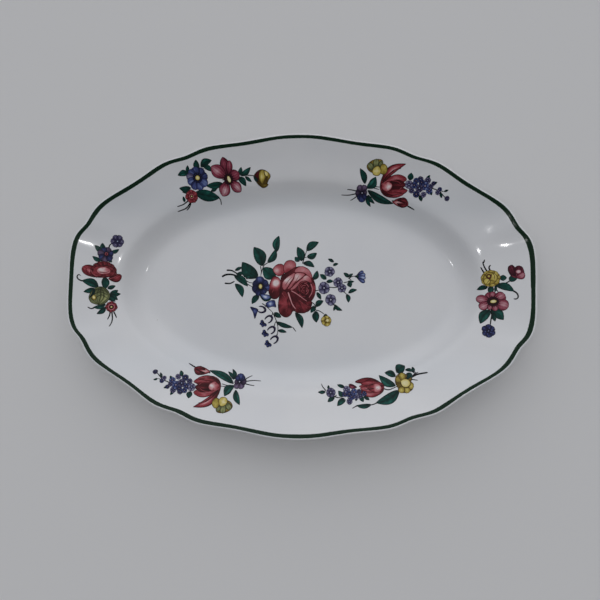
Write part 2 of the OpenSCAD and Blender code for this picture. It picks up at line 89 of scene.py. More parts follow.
# Profiles as (reach, height) in mm. Reach 0 is the shoulder, RIM_REACH the lip, and below
# WELL_REACH the rings shrink evenly to the middle. These are the glazed faces.
face_profile = [(CENTRE_REACH, 6.45), (-60, 6.45), (-40, 6.5), (-28, 6.5), (-21, 6.55),
                (-16.2, 7.3), (-11.6, 9.6), (-7.6, 12.7), (-4.2, 16), (-1.6, 18.4), (1.4, 19.9),
                (8, 22.1), (15, 24.5), (22, 27.4), (29.2, 30.7), (31.6, 31.72), (32.7, 31.55),
                (33.1, 30.6), (32.6, 28.5)]
back_profile = [(30.4, 27.1), (15.6, 20.0), (3.2, 15.8), (-1, 12.8), (-4.8, 9.1), (-8.8, 5.8),
                (-14, 3.4), (-20.2, 2.3), (-21.3, 1.3), (-21.5, 0.5)]
foot_profile = [(-21.7, 0.25), (-22.2, 0), (-23.8, 0), (-24.3, 0.25), (-24.6, 0.6)]
foot_well_profile = [(-24.75, 0.6), (-25.1, 1.5), (-26.3, 1.9), (-40, 1.9), (CENTRE_REACH, 1.9)]


def pulled(a, b, c, d, t):
    """The place at t along the smooth curve that four control points pull on."""
    return ((1 - t) ** 3 * a + (3 * t ** 3 - 6 * t ** 2 + 4) * b
            + (-3 * t ** 3 + 3 * t ** 2 + 3 * t + 1) * c + t ** 3 * d) / 6


def spline(control, steps):
    """Points along an open cubic spline that starts and ends at the first and last point."""
    held = [control[0]] * 2 + list(control) + [control[-1]] * 2
    out = []
    for i in range(len(held) - 3):
        a, b, c, d = (Vector(p) for p in held[i:i + 4])
        out += [pulled(a, b, c, d, k / steps) for k in range(steps)]
    out.append(Vector(control[-1]))
    return [tuple(p) for p in out]


def sunk(profile, depth):
    """The same profile moved into the clay by a depth, still in its own order."""
    out = []
    for i, here in enumerate(profile):
        run = Vector(profile[min(i + 1, len(profile) - 1)]) - Vector(profile[max(i - 1, 0)])
        run.normalize()
        out.append((here[0] + run.y * depth, here[1] - run.x * depth))
    return out


class Wires:
    """Adds nodes to a tree in the order they are used. A socket or a value may feed any input."""

    def __init__(self, tree):
        self.tree = tree

    def pick(self, sockets, key):
        """A socket by its number, or by its name among those in use."""
        if isinstance(key, int):
            return sockets[key]
        return next(socket for socket in sockets if socket.enabled and socket.name == key)

    def feed(self, node, feeds):
        for key, value in dict(feeds).items():
            socket = self.pick(node.inputs, key)
            if isinstance(value, bpy.types.NodeSocket):
                self.tree.links.new(value, socket)
            else:
                socket.default_value = value

    def add(self, kind, feeds=(), output=0, **settings):
        node = self.tree.nodes.new(kind)
        for key, value in settings.items():
            setattr(node, key, value)
        self.feed(node, feeds)
        return self.pick(node.outputs, output)

    def math(self, operation, *values):
        return self.add("ShaderNodeMath", enumerate(values), operation=operation)

    def mix(self, factor, a, b):
        return self.add("ShaderNodeMix", {"Factor": factor, "A": a, "B": b}, output="Result",
                        data_type="RGBA")

    def band(self, value, low, high, out_low=0.0, out_high=1.0):
        return self.add("ShaderNodeMapRange", {
            "Value": value, "From Min": low, "From Max": high, "To Min": out_low,
            "To Max": out_high}, interpolation_type="SMOOTHSTEP")

    def split(self, vector):
        node = self.tree.nodes.new("ShaderNodeSeparateXYZ")
        self.tree.links.new(vector, node.inputs[0])
        return node.outputs

    def join(self, x, y, z):
        return self.add("ShaderNodeCombineXYZ", enumerate((x, y, z)))


def new_tree(name, inputs, result):
    """An empty tree with named inputs and one result: its wires, its inputs and its last node."""
    tree = bpy.data.node_groups.new(name, "GeometryNodeTree")
    for label, kind in inputs:
        tree.interface.new_socket(label, in_out="INPUT", socket_type="NodeSocket" + kind)
    tree.interface.new_socket(result, in_out="OUTPUT", socket_type="NodeSocketGeometry")
    given = tree.nodes.new("NodeGroupInput").outputs
    return Wires(tree), given, tree.nodes.new("NodeGroupOutput")


def dish_loft_tree():
    """Lofts the lip curve and a profile into a closed skin, and marks every point's reach."""
    w, given, result = new_tree("dish_loft", (
        ("Lip", "Geometry"), ("Profile", "Object"), ("Segments", "Int"), ("Rings", "Int"),
        ("Shoulder Length", "Float"), ("Shoulder Width", "Float"), ("Rim Reach", "Float"),
        ("Well Reach", "Float"), ("Centre Reach", "Float"), ("Material", "Material")), "Dish")

    grid = w.add("GeometryNodeMeshGrid", {
        "Size X": 1.0, "Size Y": 1.0, "Vertices X": w.math("ADD", given["Segments"], 1),
        "Vertices Y": w.math("ADD", given["Rings"], 1)})
    spot = w.split(w.add("GeometryNodeInputPosition"))
    ring = w.math("ROUND", w.math("MULTIPLY", w.math("ADD", spot[1], 0.5), given["Rings"]))
    lip = w.split(w.add("GeometryNodeSampleCurve", {
        "Curves": given["Lip"], "Factor": w.math("ADD", spot[0], 0.5)},
        output="Position", mode="FACTOR", use_all_curves=True))
    profile = w.add("GeometryNodeObjectInfo", {"Object": given["Profile"]}, output="Geometry")
    level = w.split(w.add("GeometryNodeSampleIndex", {
        "Geometry": profile, "Index": ring, "Value": w.add("GeometryNodeInputPosition")},
        data_type="FLOAT_VECTOR"))
    reach, height = level[0], level[1]
    bearing = w.math("ARCTAN2", lip[1], lip[0])
    cos, sin = w.math("COSINE", bearing), w.math("SINE", bearing)

    def oval(grow):
        a = w.math("ADD", given["Shoulder Length"], grow)
        b = w.math("ADD", given["Shoulder Width"], grow)
        spread = w.math("ADD", w.math("POWER", w.math("MULTIPLY", b, cos), 2),
                        w.math("POWER", w.math("MULTIPLY", a, sin), 2))
        return w.math("DIVIDE", w.math("MULTIPLY", a, b), w.math("SQRT", spread))

    shoulder = oval(0.0)
    edge = w.math("SQRT", w.math("ADD", w.math("POWER", lip[0], 2), w.math("POWER", lip[1], 2)))
    share = w.math("DIVIDE", w.math("MAXIMUM", reach, 0.0), given["Rim Reach"])
    rim = w.math("ADD", shoulder, w.math("MULTIPLY", w.math("SUBTRACT", edge, shoulder), share))
    inward = w.math("MAXIMUM", w.math("MINIMUM", reach, 0.0), given["Well Reach"])
    shrink = w.math("DIVIDE", w.math("SUBTRACT", reach, given["Centre Reach"]),
                    w.math("SUBTRACT", given["Well Reach"], given["Centre Reach"]))
    shrink = w.math("MINIMUM", w.math("MAXIMUM", shrink, 0.0), 1.0)
    well = w.math("MULTIPLY", oval(inward), shrink)
    on_rim = w.math("GREATER_THAN", reach, 0.0)
    radius = w.math("ADD", w.math("MULTIPLY", rim, on_rim),
                    w.math("MULTIPLY", well, w.math("SUBTRACT", 1.0, on_rim)))

    placed = w.add("GeometryNodeSetPosition", {
        "Geometry": grid,
        "Position": w.join(w.math("MULTIPLY", radius, cos), w.math("MULTIPLY", radius, sin),
                           height)})
    marked = w.add("GeometryNodeStoreNamedAttribute", {
        "Geometry": placed, "Name": "reach", "Value": w.math("DIVIDE", reach, MM)},
        data_type="FLOAT", domain="POINT")
    closed = w.add("GeometryNodeMergeByDistance", {"Geometry": marked, "Distance": MERGE_GAP * MM})
    outward = w.add("GeometryNodeFlipFaces", {"Mesh": closed})
    smooth = w.add("GeometryNodeSetShadeSmooth", {"Geometry": outward})
    real = w.add("GeometryNodeRealizeInstances", {"Geometry": smooth})
    skin = w.add("GeometryNodeSetMaterial", {"Geometry": real, "Material": given["Material"]})
    w.feed(result, {0: skin})
    return w.tree


dish_loft = dish_loft_tree()


def made_by(tree, name, data, values):
    """A plain mesh piece: what a tree makes of a curve or a mesh. Its maker is removed."""
    maker = bpy.data.objects.new(name + "_maker", data)
    bpy.context.scene.collection.objects.link(maker)
    modifier = maker.modifiers.new(tree.name, "NODES")
    modifier.node_group = tree
    for socket in tree.interface.items_tree:
        if socket.name in values:
            modifier[socket.identifier] = values[socket.name]
    bpy.context.view_layer.update()
    seen = maker.evaluated_get(bpy.context.evaluated_depsgraph_get())
    mesh = bpy.data.meshes.new_from_object(seen)
    mesh.name = name
    for slot in reversed(range(len(mesh.materials))):
        if mesh.materials[slot] is None:
            mesh.materials.pop(index=slot)
    bpy.data.objects.remove(maker)
    piece = bpy.data.objects.new(name, mesh)
    bpy.context.scene.collection.objects.link(piece)
    return piece


def loft(name, points, material):
    """A closed loft of the lip along a profile."""
    line = bpy.data.meshes.new(name + "_profile")
    line.from_pydata([(r * MM, z * MM, 0) for r, z in points],
                     [(i, i + 1) for i in range(len(points) - 1)], [])
    profile = bpy.data.objects.new(name + "_profile", line)
    bpy.context.scene.collection.objects.link(profile)
    piece = made_by(dish_loft, name, lip_data, {
        "Profile": profile, "Segments": DISH_SEGMENTS, "Rings": len(points) - 1,
        "Shoulder Length": SHOULDER_LENGTH * MM, "Shoulder Width": SHOULDER_WIDTH * MM,
        "Rim Reach": RIM_REACH * MM, "Well Reach": WELL_REACH * MM,
        "Centre Reach": CENTRE_REACH * MM, "Material": material})
    bpy.data.objects.remove(profile)
    return piece


def shader_of(name):
    """A new material, the wires of its nodes, and its shader."""
    material = bpy.data.materials.new(name)
    material.use_nodes = True
    return material, Wires(material.node_tree), material.node_tree.nodes["Principled BSDF"]


def fired_clay_material():
    """Bare fired china: off-white, dry, finely gritty, and greyed by wear on the ground edge."""
    material, w, shader = shader_of("fired_china_clay")
    place = w.add("ShaderNodeTexCoord", output="Object")
    grit = w.add("ShaderNodeTexNoise", {"Vector": place, "Scale": 2600.0, "Detail": 3.0})
    stain = w.add("ShaderNodeTexNoise", {"Vector": place, "Scale": 60.0, "Detail": 5.0})
    clay = w.mix(w.band(grit, 0.35, 0.7), (0.60, 0.57, 0.51, 1), (0.74, 0.72, 0.67, 1))
    height = w.math("DIVIDE", w.split(place)[2], MM)
    worn = w.math("MULTIPLY", w.band(height, 0.35, 0.0), w.band(stain, 0.42, 0.62))
    w.feed(shader, {
        "Base Color": w.mix(worn, clay, (0.47, 0.44, 0.39, 1)),
        "Roughness": w.band(grit, 0.3, 0.7, 0.75, 0.95),
        "Normal": w.add("ShaderNodeBump", {"Strength": 0.5, "Distance": 0.08 * MM, "Height": grit})})
    return material


glaze_line = spline(face_profile + back_profile, LINE_STEPS)
clay_line = sunk(glaze_line, GLAZE)
clay_well_line = sunk(foot_well_profile, GLAZE)
china = loft("china_dish", clay_line + foot_profile + clay_well_line, fired_clay_material())
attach(china, "root")
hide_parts("china_body")


# ---- The glaze ----------------------------------------------------------------------------------
# A clear glaze over the white clay, in one skin from the middle of the face over the lip and down
# the back to the foot, with a second pool inside the foot ring. It was dipped and fired, so it is
# glossy, rounds each edge, thins to cream on the lip and gathers blue-white in the corners.
def glaze_material():
    """Glossy white with faint cloudiness, orange peel and a few specks from the kiln."""
    material, w, shader = shader_of("clear_glaze_on_white")
    place = w.add("ShaderNodeTexCoord", output="Object")
    reach = w.add("ShaderNodeAttribute", output="Fac", attribute_name="reach")
    cloud = w.add("ShaderNodeTexNoise", {"Vector": place, "Scale": 18.0, "Detail": 4.0})
    white = w.mix(w.band(cloud, 0.3, 0.7), (0.735, 0.745, 0.765, 1), (0.775, 0.78, 0.79, 1))
    lip_thin = w.band(reach, 31.4, 33.0)
    white = w.mix(w.math("MULTIPLY", lip_thin, 0.6), white, (0.80, 0.81, 0.70, 1))
    corner = w.math("MULTIPLY", w.band(reach, -23.0, -18.0), w.band(reach, -10.0, -16.0))
    white = w.mix(w.math("MULTIPLY", corner, 0.35), white, (0.66, 0.70, 0.74, 1))
    specks = w.add("ShaderNodeTexVoronoi", {"Vector": place, "Scale": 55.0}, output="Distance")
    rare = w.add("ShaderNodeTexNoise", {"Vector": place, "Scale": 40.0, "Detail": 1.0})
    speck = w.math("MULTIPLY", w.band(specks, 0.022, 0.010), w.band(rare, 0.60, 0.64))
    peel = w.add("ShaderNodeTexNoise", {"Vector": place, "Scale": 260.0, "Detail": 2.0})
    w.feed(shader, {
        "Base Color": w.mix(speck, white, (0.22, 0.16, 0.10, 1)),
        "Roughness": w.band(cloud, 0.3, 0.7, 0.06, 0.11),
        "Normal": w.add("ShaderNodeBump", {"Strength": 0.12, "Distance": 0.1 * MM, "Height": peel}),
        "IOR": 1.52, "Coat Weight": 0.35, "Coat Roughness": 0.02})
    return material


clear_glaze = glaze_material()
glaze = loft("dish_glaze", glaze_line + clay_line[::-1], clear_glaze)
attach(glaze, "root")
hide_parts("face_glaze", "back_glaze")

foot_pool = loft("foot_pool_glaze", clay_well_line[::-1] + foot_well_profile, clear_glaze)
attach(foot_pool, "root")
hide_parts("foot_well_glaze")


# ---- The centre spray ---------------------------------------------------------------------------
# Overglaze enamels: a printed ink outline is laid on the glaze as a transfer, coloured by hand with
# a brush and fired on. This is the large one, a rose with a blue daisy, bluebells, lilac
# forget-me-nots, a cornflower and a buttercup. Places are in mm from the middle of the platter.
BRUSH_STEP = 0.5
CURVE_STEP, LINE_STEP = 0.6, 0.7
INK_WIDTH = 0.55
FIRST_COAT, SECOND_COAT, THIRD_COAT = 0.02, 0.06, 0.13
COAT_STEP = 0.0015
BITE = 0.03
COLUMNS_PER_MM = 9
DROP_FROM = 100
dice = random.Random(11)

# How a petal is shaded: darker to its base, faint streaks, a glow's spread, and a leaf's veins.
BASE_DARK = 0.22
STREAK = 0.07
GLOW_LONG, GLOW_WIDE = 0.07, 0.25
VEIN_WIDTH = 0.35
SIDE_VEIN, VEIN_SLANT, VEIN_PACE = 0.3, 5, 1.4


def enamel_material(name, *stops):
    """An enamel whose shade runs from ink to highlight, with brush cloudiness and a fired gloss."""
    material, w, shader = shader_of(name)
    place = w.add("ShaderNodeTexCoord", output="Object")
    shade = w.add("ShaderNodeAttribute", output="Fac", attribute_name="shade")
    stipple = w.add("ShaderNodeTexNoise", {"Vector": place, "Scale": 900.0, "Detail": 2.0})
    wash = w.add("ShaderNodeTexNoise", {"Vector": place, "Scale": 260.0, "Detail": 3.0})
    grain = w.math("MULTIPLY", w.math("SUBTRACT", stipple, 0.5), 0.16)
    cloud = w.math("MULTIPLY", w.math("SUBTRACT", wash, 0.5), 0.22)
    uneven = w.math("MULTIPLY", w.math("ADD", grain, cloud), w.band(shade, 0.0, 0.25))
    ramp = w.tree.nodes.new("ShaderNodeValToRGB")
    while len(ramp.color_ramp.elements) < len(stops):
        ramp.color_ramp.elements.new(0.5)
    for spot, (at, colour) in zip(ramp.color_ramp.elements, stops):
        spot.position = at
        spot.color = (*colour, 1)
    w.feed(ramp, {0: w.math("ADD", shade, uneven)})
    w.feed(shader, {
        "Base Color": ramp.outputs["Color"], "Roughness": w.band(wash, 0.3, 0.7, 0.1, 0.24),
        "Normal": w.add("ShaderNodeBump", {"Strength": 0.25, "Distance": 0.05 * MM, "Height": wash}),
        "Specular IOR Level": 0.16})
    return material


leaf_green = enamel_material(
    "leaf_green_enamel", (0.0, (0.002, 0.007, 0.008)), (0.3, (0.002, 0.020, 0.017)),
    (0.55, (0.003, 0.052, 0.041)), (0.8, (0.017, 0.14, 0.11)), (1.0, (0.22, 0.40, 0.34)))
crimson = enamel_material(
    "crimson_enamel", (0.0, (0.014, 0.002, 0.003)), (0.25, (0.078, 0.006, 0.010)),
    (0.5, (0.29, 0.038, 0.050)), (0.75, (0.54, 0.20, 0.22)), (0.9, (0.66, 0.42, 0.42)),
    (1.0, (0.76, 0.66, 0.66)))
cobalt = enamel_material(
    "cobalt_enamel", (0.0, (0.003, 0.003, 0.014)), (0.3, (0.017, 0.021, 0.076)),
    (0.55, (0.050, 0.070, 0.21)), (0.8, (0.19, 0.25, 0.45)), (1.0, (0.56, 0.61, 0.74)))
lilac = enamel_material(
    "lilac_enamel", (0.0, (0.007, 0.005, 0.020)), (0.3, (0.032, 0.027, 0.076)),
    (0.55, (0.12, 0.11, 0.20)), (0.8, (0.29, 0.29, 0.41)), (1.0, (0.58, 0.58, 0.66)))
yellow = enamel_material(
    "yellow_enamel", (0.0, (0.024, 0.013, 0.004)), (0.3, (0.13, 0.082, 0.012)),
    (0.55, (0.39, 0.30, 0.055)), (0.8, (0.64, 0.53, 0.15)), (1.0, (0.80, 0.74, 0.46)))
ink = enamel_material(
    "printed_ink", (0.0, (0.002, 0.003, 0.004)), (0.5, (0.008, 0.014, 0.014)),
    (1.0, (0.035, 0.06, 0.055)))


PAINT_INPUTS = ["First Paint", "Second Paint", "Third Paint"]


def transfer_tree():
    """Lays a flat drawing down on the glaze. A drawn point's height is its lift off the glaze."""
    w, given, result = new_tree("lay_on_glaze", (
        ("Drawing", "Geometry"), ("Glaze", "Object"), ("Drop From", "Float"),
        *((paint, "Material") for paint in PAINT_INPUTS)), "Decal")
    spot = w.split(w.add("GeometryNodeInputPosition"))
    ground = w.add("GeometryNodeObjectInfo", {"Object": given["Glaze"]}, output="Geometry")
    under = w.split(w.add("GeometryNodeRaycast", {
        "Target Geometry": ground, "Source Position": w.join(spot[0], spot[1], given["Drop From"]),
        "Ray Direction": (0, 0, -1), "Ray Length": 1.0}, output="Hit Position"))
    laid = w.add("GeometryNodeSetPosition", {
        "Geometry": given["Drawing"],
        "Position": w.join(spot[0], spot[1], w.math("ADD", under[2], spot[2]))})
    coated = w.add("GeometryNodeRealizeInstances", {"Geometry": laid})
    number = w.add("GeometryNodeInputNamedAttribute", {"Name": "paint"}, data_type="INT")
    for i, paint in enumerate(PAINT_INPUTS):
        chosen = w.add("FunctionNodeCompare", {"A": number, "B": i}, data_type="INT",
                       operation="EQUAL")
        coated = w.add("GeometryNodeSetMaterial", {
            "Geometry": coated, "Selection": chosen, "Material": given[paint]})
    w.feed(result, {0: coated})
    return w.tree


lay_on_glaze = transfer_tree()


def through(a, b, c, d, t):
    """The place at t on the smooth curve that runs from b to c, with a before and d after."""
    return b + 0.5 * t * (c - a + t * (2 * a - 5 * b + 4 * c - d + t * (3 * b - a - 3 * c + d)))


def around(middle, degrees, wide, high=None):
    """The place in a direction on the oval round a middle, wide and high from its middle."""
    w = math.radians(degrees)
    return middle[0] + wide * math.cos(w), middle[1] + (high or wide) * math.sin(w)


def ring(middle, radius, columns, oval, lean):
    """Points round a leaning oval."""
    turn = Matrix.Rotation(lean, 2)
    return [Vector(middle) + turn @ Vector((radius * math.cos(w), radius * oval * math.sin(w)))
            for w in (2 * math.pi * k / columns for k in range(columns))]


class Drawing:
    """Strokes of one flower or leaf group, drawn flat in mm. Each is a thin closed solid."""

    def __init__(self, paints, coat=THIRD_COAT, turn=0.0, slide=(0, 0)):
        self.paints = paints
        self.coat = coat
        self.turn = Matrix.Rotation(turn, 2)
        self.slide = Vector(slide)
        self.points, self.shades, self.faces, self.finish = [], [], [], []
        self.strokes = 0

    def skin(self, rows, shades, paint, loop=False):
        """Adds a grid of plan points as a solid. A loop's last column meets its first."""
        seen = {}
        lift = self.coat + self.strokes * COAT_STEP
        self.strokes += 1

        def point(r, c, top):
            x, y = self.turn @ Vector(rows[r][c]) + self.slide
            key = (round(x, 4), round(y, 4), top)
            if key not in seen:
                seen[key] = len(self.points)
                self.points.append((x * MM, y * MM, (lift if top else -BITE) * MM))
                self.shades.append(min(max(shades[r][c], 0.0), 1.0))
            return seen[key]

        last, wide = len(rows) - 1, len(rows[0])
        cells = [(r, c, r + 1, (c + 1) % wide)
                 for r in range(last) for c in range(wide if loop else wide - 1)]
        walls = [((0, c), (0, (c + 1) % wide)) for c in range(wide if loop else wide - 1)]
        walls += [((last, b[1]), (last, a[1])) for a, b in walls]
        if not loop:
            walls += [((r + 1, 0), (r, 0)) for r in range(last)]
            walls += [((r, wide - 1), (r + 1, wide - 1)) for r in range(last)]
        polygons = []
        for r, c, s, d in cells:
            polygons.append([point(r, c, True), point(r, d, True), point(s, d, True),
                             point(s, c, True)])
            polygons.append([point(s, c, False), point(s, d, False), point(r, d, False),
                             point(r, c, False)])
        for a, b in walls:
            polygons.append([point(*b, True), point(*a, True), point(*a, False),
                             point(*b, False)])
        area = sum((Vector(rows[r][c]) - Vector(rows[s][c])).cross(
            Vector(rows[r][d]) - Vector(rows[r][c])) for r, c, s, d in cells)
        for polygon in polygons:
            kept = [p for i, p in enumerate(polygon) if p != polygon[i - 1]]
            if len(kept) > 2:
                self.faces.append(kept if area > 0 else kept[::-1])
                self.finish.append(paint)

    def petal(self, base, tip, width, tone, light, bend=0.0, widest=0.6, blunt=0.55, vein=0.0,
              streaks=3.0, glow=(0.65, 0.0), paint=0):
        """A petal or leaf from base to tip. It bends to its left, and glows at a place on it."""
        base, run = Vector(base), Vector(tip) - Vector(base)
        length, side = run.length, Vector((-run.y, run.x)).normalized()
        steps, spread = max(5, round(length / BRUSH_STEP)), max(4, round(width / BRUSH_STEP))
        power = math.log(0.5) / math.log(widest)
        phase = dice.uniform(0, 6)
        rows, shades = [], []
        for i in range(steps + 1):
            u = i / steps
            half = width / 2 * abs(math.sin(math.pi * u ** power)) ** blunt if 0 < i < steps else 0
            middle = base + run * u + side * bend * length * math.sin(math.pi * u)
            row, tones = [], []
            for j in range(spread + 1):
                v = 2 * j / spread - 1
                row.append(middle + side * half * v)
                s = tone - BASE_DARK * (1 - u) ** 2
                s += STREAK * math.sin(streaks * math.pi * v + phase)
                s += light * math.exp(-(u - glow[0]) ** 2 / GLOW_LONG - (v - glow[1]) ** 2 / GLOW_WIDE)
                s -= vein * math.exp(-(v * half / VEIN_WIDTH) ** 2)
                s += vein * SIDE_VEIN * math.sin(abs(v) * VEIN_SLANT - u * length * VEIN_PACE)
                edge = min(half * (1 - abs(v)), min(u, 1 - u) * length * 1.5)
                tones.append(s * min(1.0, edge / INK_WIDTH))
            rows.append(row)
            shades.append(tones)
        self.skin(rows, shades, paint)

    def blob(self, outline, tone, light, glow=None, spread=3.0, streaks=0.0, paint=0, hub=None):
        """A closed patch inside a smooth outline, glowing at a place and inked round the edge."""
        m = len(outline)
        edge = []
        for i in range(m):
            a, b, c, d = (Vector(outline[(i + k) % m]) for k in (-1, 0, 1, 2))
            cuts = max(2, round((c - b).length / CURVE_STEP))
            edge += [through(a, b, c, d, k / cuts) for k in range(cuts)]
        hub = Vector(hub) if hub else sum(edge, Vector((0, 0))) / len(edge)
        glow = Vector(glow) if glow else hub
        rings = max(3, round(max((p - hub).length for p in edge) / CURVE_STEP))
        phase = dice.uniform(0, 6)
        rows, shades = [], []
        for i in range(rings + 1):
            f = i / rings
            row = [hub + (p - hub) * f for p in edge]
            tones = []
            for p, q in zip(edge, row):
                s = tone + light * math.exp(-(q - glow).length_squared / spread ** 2)
                if streaks:
                    s += 0.09 * f * math.sin(streaks * math.atan2(p.y - hub.y, p.x - hub.x) + phase)
                tones.append(s * min(1.0, (1 - f) * (p - hub).length / INK_WIDTH))
            rows.append(row)
            shades.append(tones)
        self.skin(rows, shades, paint, loop=True)

    def dot(self, middle, radius, tone, light, paint=0, oval=1.0, lean=0.0, rim=1.0):
        """A round or oval spot. With a small rim number it has a hard, inkless edge."""
        columns, rings = max(10, round(radius * COLUMNS_PER_MM)), max(2, round(radius / BRUSH_STEP))
        rows, shades = [], []
        for i in range(rings + 1):
            f = i / rings
            rows.append(ring(middle, radius * f, columns, oval, lean))
            s = (tone + light * (1 - f * f)) * min(1.0, (1 - f) * radius / INK_WIDTH / rim)
            shades.append([s] * columns)
        self.skin(rows, shades, paint, loop=True)

    def hoop(self, middle, radius, width, tone, paint=0):
        """A round outline."""
        columns = max(14, round(radius * COLUMNS_PER_MM))
        rows = [ring(middle, r, columns, 1.0, 0.0)
                for r in (radius - width / 2, radius, radius + width / 2)]
        self.skin(rows, [[tone] * columns] * 3, paint, loop=True)

    def line(self, way, start, end, tone=0.12, paint=0):
        """A brush line through the points of its way, from one width to another."""
        way = [Vector(p) for p in way]
        way = [2 * way[0] - way[1]] + way + [2 * way[-1] - way[-2]]
        path = []
        for i in range(1, len(way) - 2):
            a, b, c, d = way[i - 1:i + 3]
            cuts = max(2, round((c - b).length / LINE_STEP))
            path += [through(a, b, c, d, k / cuts) for k in range(cuts + (i == len(way) - 3))]
        rows = []
        for i, p in enumerate(path):
            run = path[min(i + 1, len(path) - 1)] - path[max(i - 1, 0)]
            side = Vector((-run.y, run.x)).normalized()
            f = i / (len(path) - 1)
            half = (start + (end - start) * f) / 2 * (0.35 if i in (0, len(path) - 1) else 1)
            rows.append([p - side * half, p, p + side * half])
        self.skin(rows, [[tone * 0.4, tone, tone * 0.4]] * len(rows), paint)

    def laid(self, node, slot):
        """Lays the drawing on the glaze as the painted piece that stands for a CAD node."""
        mesh = bpy.data.meshes.new(node + "_drawing")
        mesh.from_pydata(self.points, [], self.faces)
        mesh.attributes.new("shade", "FLOAT", "POINT").data.foreach_set("value", self.shades)
        mesh.attributes.new("paint", "INT", "FACE").data.foreach_set("value", self.finish)
        piece = made_by(lay_on_glaze, "painted_" + node, mesh, {
            "Glaze": glaze, "Drop From": DROP_FROM * MM, **dict(zip(PAINT_INPUTS, self.paints))})
        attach(piece, "root")
        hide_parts(node)


def slide_to(node, drawn_at, turn=0.0):
    """How far a drawing slides so that a flower drawn at a place lands on its CAD node."""
    low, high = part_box(node)
    middle = (low + high).to_2d() / 2 / MM
    return middle - Matrix.Rotation(turn, 2) @ Vector(drawn_at)


LEAF_TONE, LEAF_VARIES, LEAF_VEIN = 0.5, 0.06, 0.16


def leaves(plan, slide, turn=0.0):
    """A drawing of leaves from a plan of (base, tip, width) or (base, tip, width, bend)."""
    drawing = Drawing([leaf_green], SECOND_COAT, turn, slide)
    for base, tip, width, *bend in plan:
        tone = LEAF_TONE + dice.uniform(-LEAF_VARIES, LEAF_VARIES)
        sway = bend[0] if bend else dice.uniform(-LEAF_VARIES, LEAF_VARIES)
        drawing.petal(base, tip, width, tone, 0.16, bend=sway, widest=0.45, blunt=0.8,
                      vein=LEAF_VEIN, streaks=1.5, glow=(0.5, 0.45))
    return drawing


def blossom(drawing, middle, radius, petals, tone, light, eye, start, wide, eye_size, paint=0):
    """A small round flower: a ring of petals, the first at an angle, and an eye in a paint."""
    middle = Vector(middle)
    for k in range(petals):
        w = math.radians(start + 360 / petals * k + dice.uniform(-6, 6))
        out = Vector((math.cos(w), math.sin(w)))
        reach = radius * dice.uniform(0.92, 1.04)
        drawing.petal(middle + out * radius * 0.08, middle + out * reach,
                      radius * wide * 6.0 / petals * dice.uniform(0.9, 1.05), tone, light,
                      widest=0.62, blunt=0.5, streaks=2.5, glow=(0.7, 0.0), paint=paint)
    drawing.dot(middle, radius * eye_size * 1.5, 0.12, 0.0)
    drawing.dot(middle, radius * eye_size, 0.75, 0.25, eye, rim=0.6)


def whorl(drawing, middle, light, plan, glow=(0.65, 0.0)):
    """A ring of unlike petals, from a plan of (angle, reach, width, tone, paint)."""
    for angle, reach, width, tone, paint in plan:
        drawing.petal(middle, around(middle, angle, reach), width, tone, light, widest=0.66,
                      blunt=0.5, glow=glow, paint=paint)


centre = slide_to("centre_daisy", (-29.2, -1.3))

twigs = Drawing([ink], FIRST_COAT, slide=centre)
twigs.line([(-59.5, 7.3), (-56, 9), (-50.5, 8.9), (-46, 6.5), (-42, 2.5)], 1.5, 1.1)
twigs.line([(-56, 12.4), (-52, 12.2), (-48, 10), (-44, 8)], 1.3, 0.8)
twigs.line([(-57.2, 2.4), (-53, 2.3), (-49.5, 4)], 1.3, 0.9)
for way in ([(-44, 7.5), (-39, 3.6), (-34, 2.6)], [(-45, 6.2), (-39, 1.6), (-34, -0.8)],
            [(-41, 6), (-38, 6.6), (-38.5, 8)], [(-24.5, 18.4), (-27.5, 16), (-29.5, 9)],
            [(-30, 16), (-29.2, 12), (-29.5, 8)], [(-28, -12.6), (-25, -14.6), (-20, -19)],
            [(-20, -19), (-17, -25), (-15.4, -31), (-16, -38)], [(-26.8, -16.8), (-25, -14.8)],
            [(-20.6, -22.6), (-19.6, -19.8)], [(-18.6, -30.6), (-17.2, -26)],
            [(-16.6, -38.6), (-15.8, -35)], [(-4, -30.4), (-1.6, -33.6)],
            [(2, 18), (3.6, 23), (5.2, 28.5)], [(5.2, 23), (3.8, 22.8)], [(25, 0.1), (30, 0.6)],
            [(33, -2), (36, -4.8)], [(37, 7), (40, 8.8), (43.5, 9.2)], [(33.5, 4), (38, 5)],
            [(22.5, 0.4), (28, 0.2)], [(12, -2.6), (16, -1.6)], [(14, -12), (12.6, -16), (12, -19)],
            [(12.6, -17), (16, -17.8), (20, -20.4)], [(9.5, -11), (12, -13), (13, -17)],
            [(37.4, 7.4), (39.4, 6)], [(25.6, -12.6), (28.4, -13.4)]):
    twigs.line(way, 0.8, 0.45)
twigs.laid("centre_stems", "stem_ink")

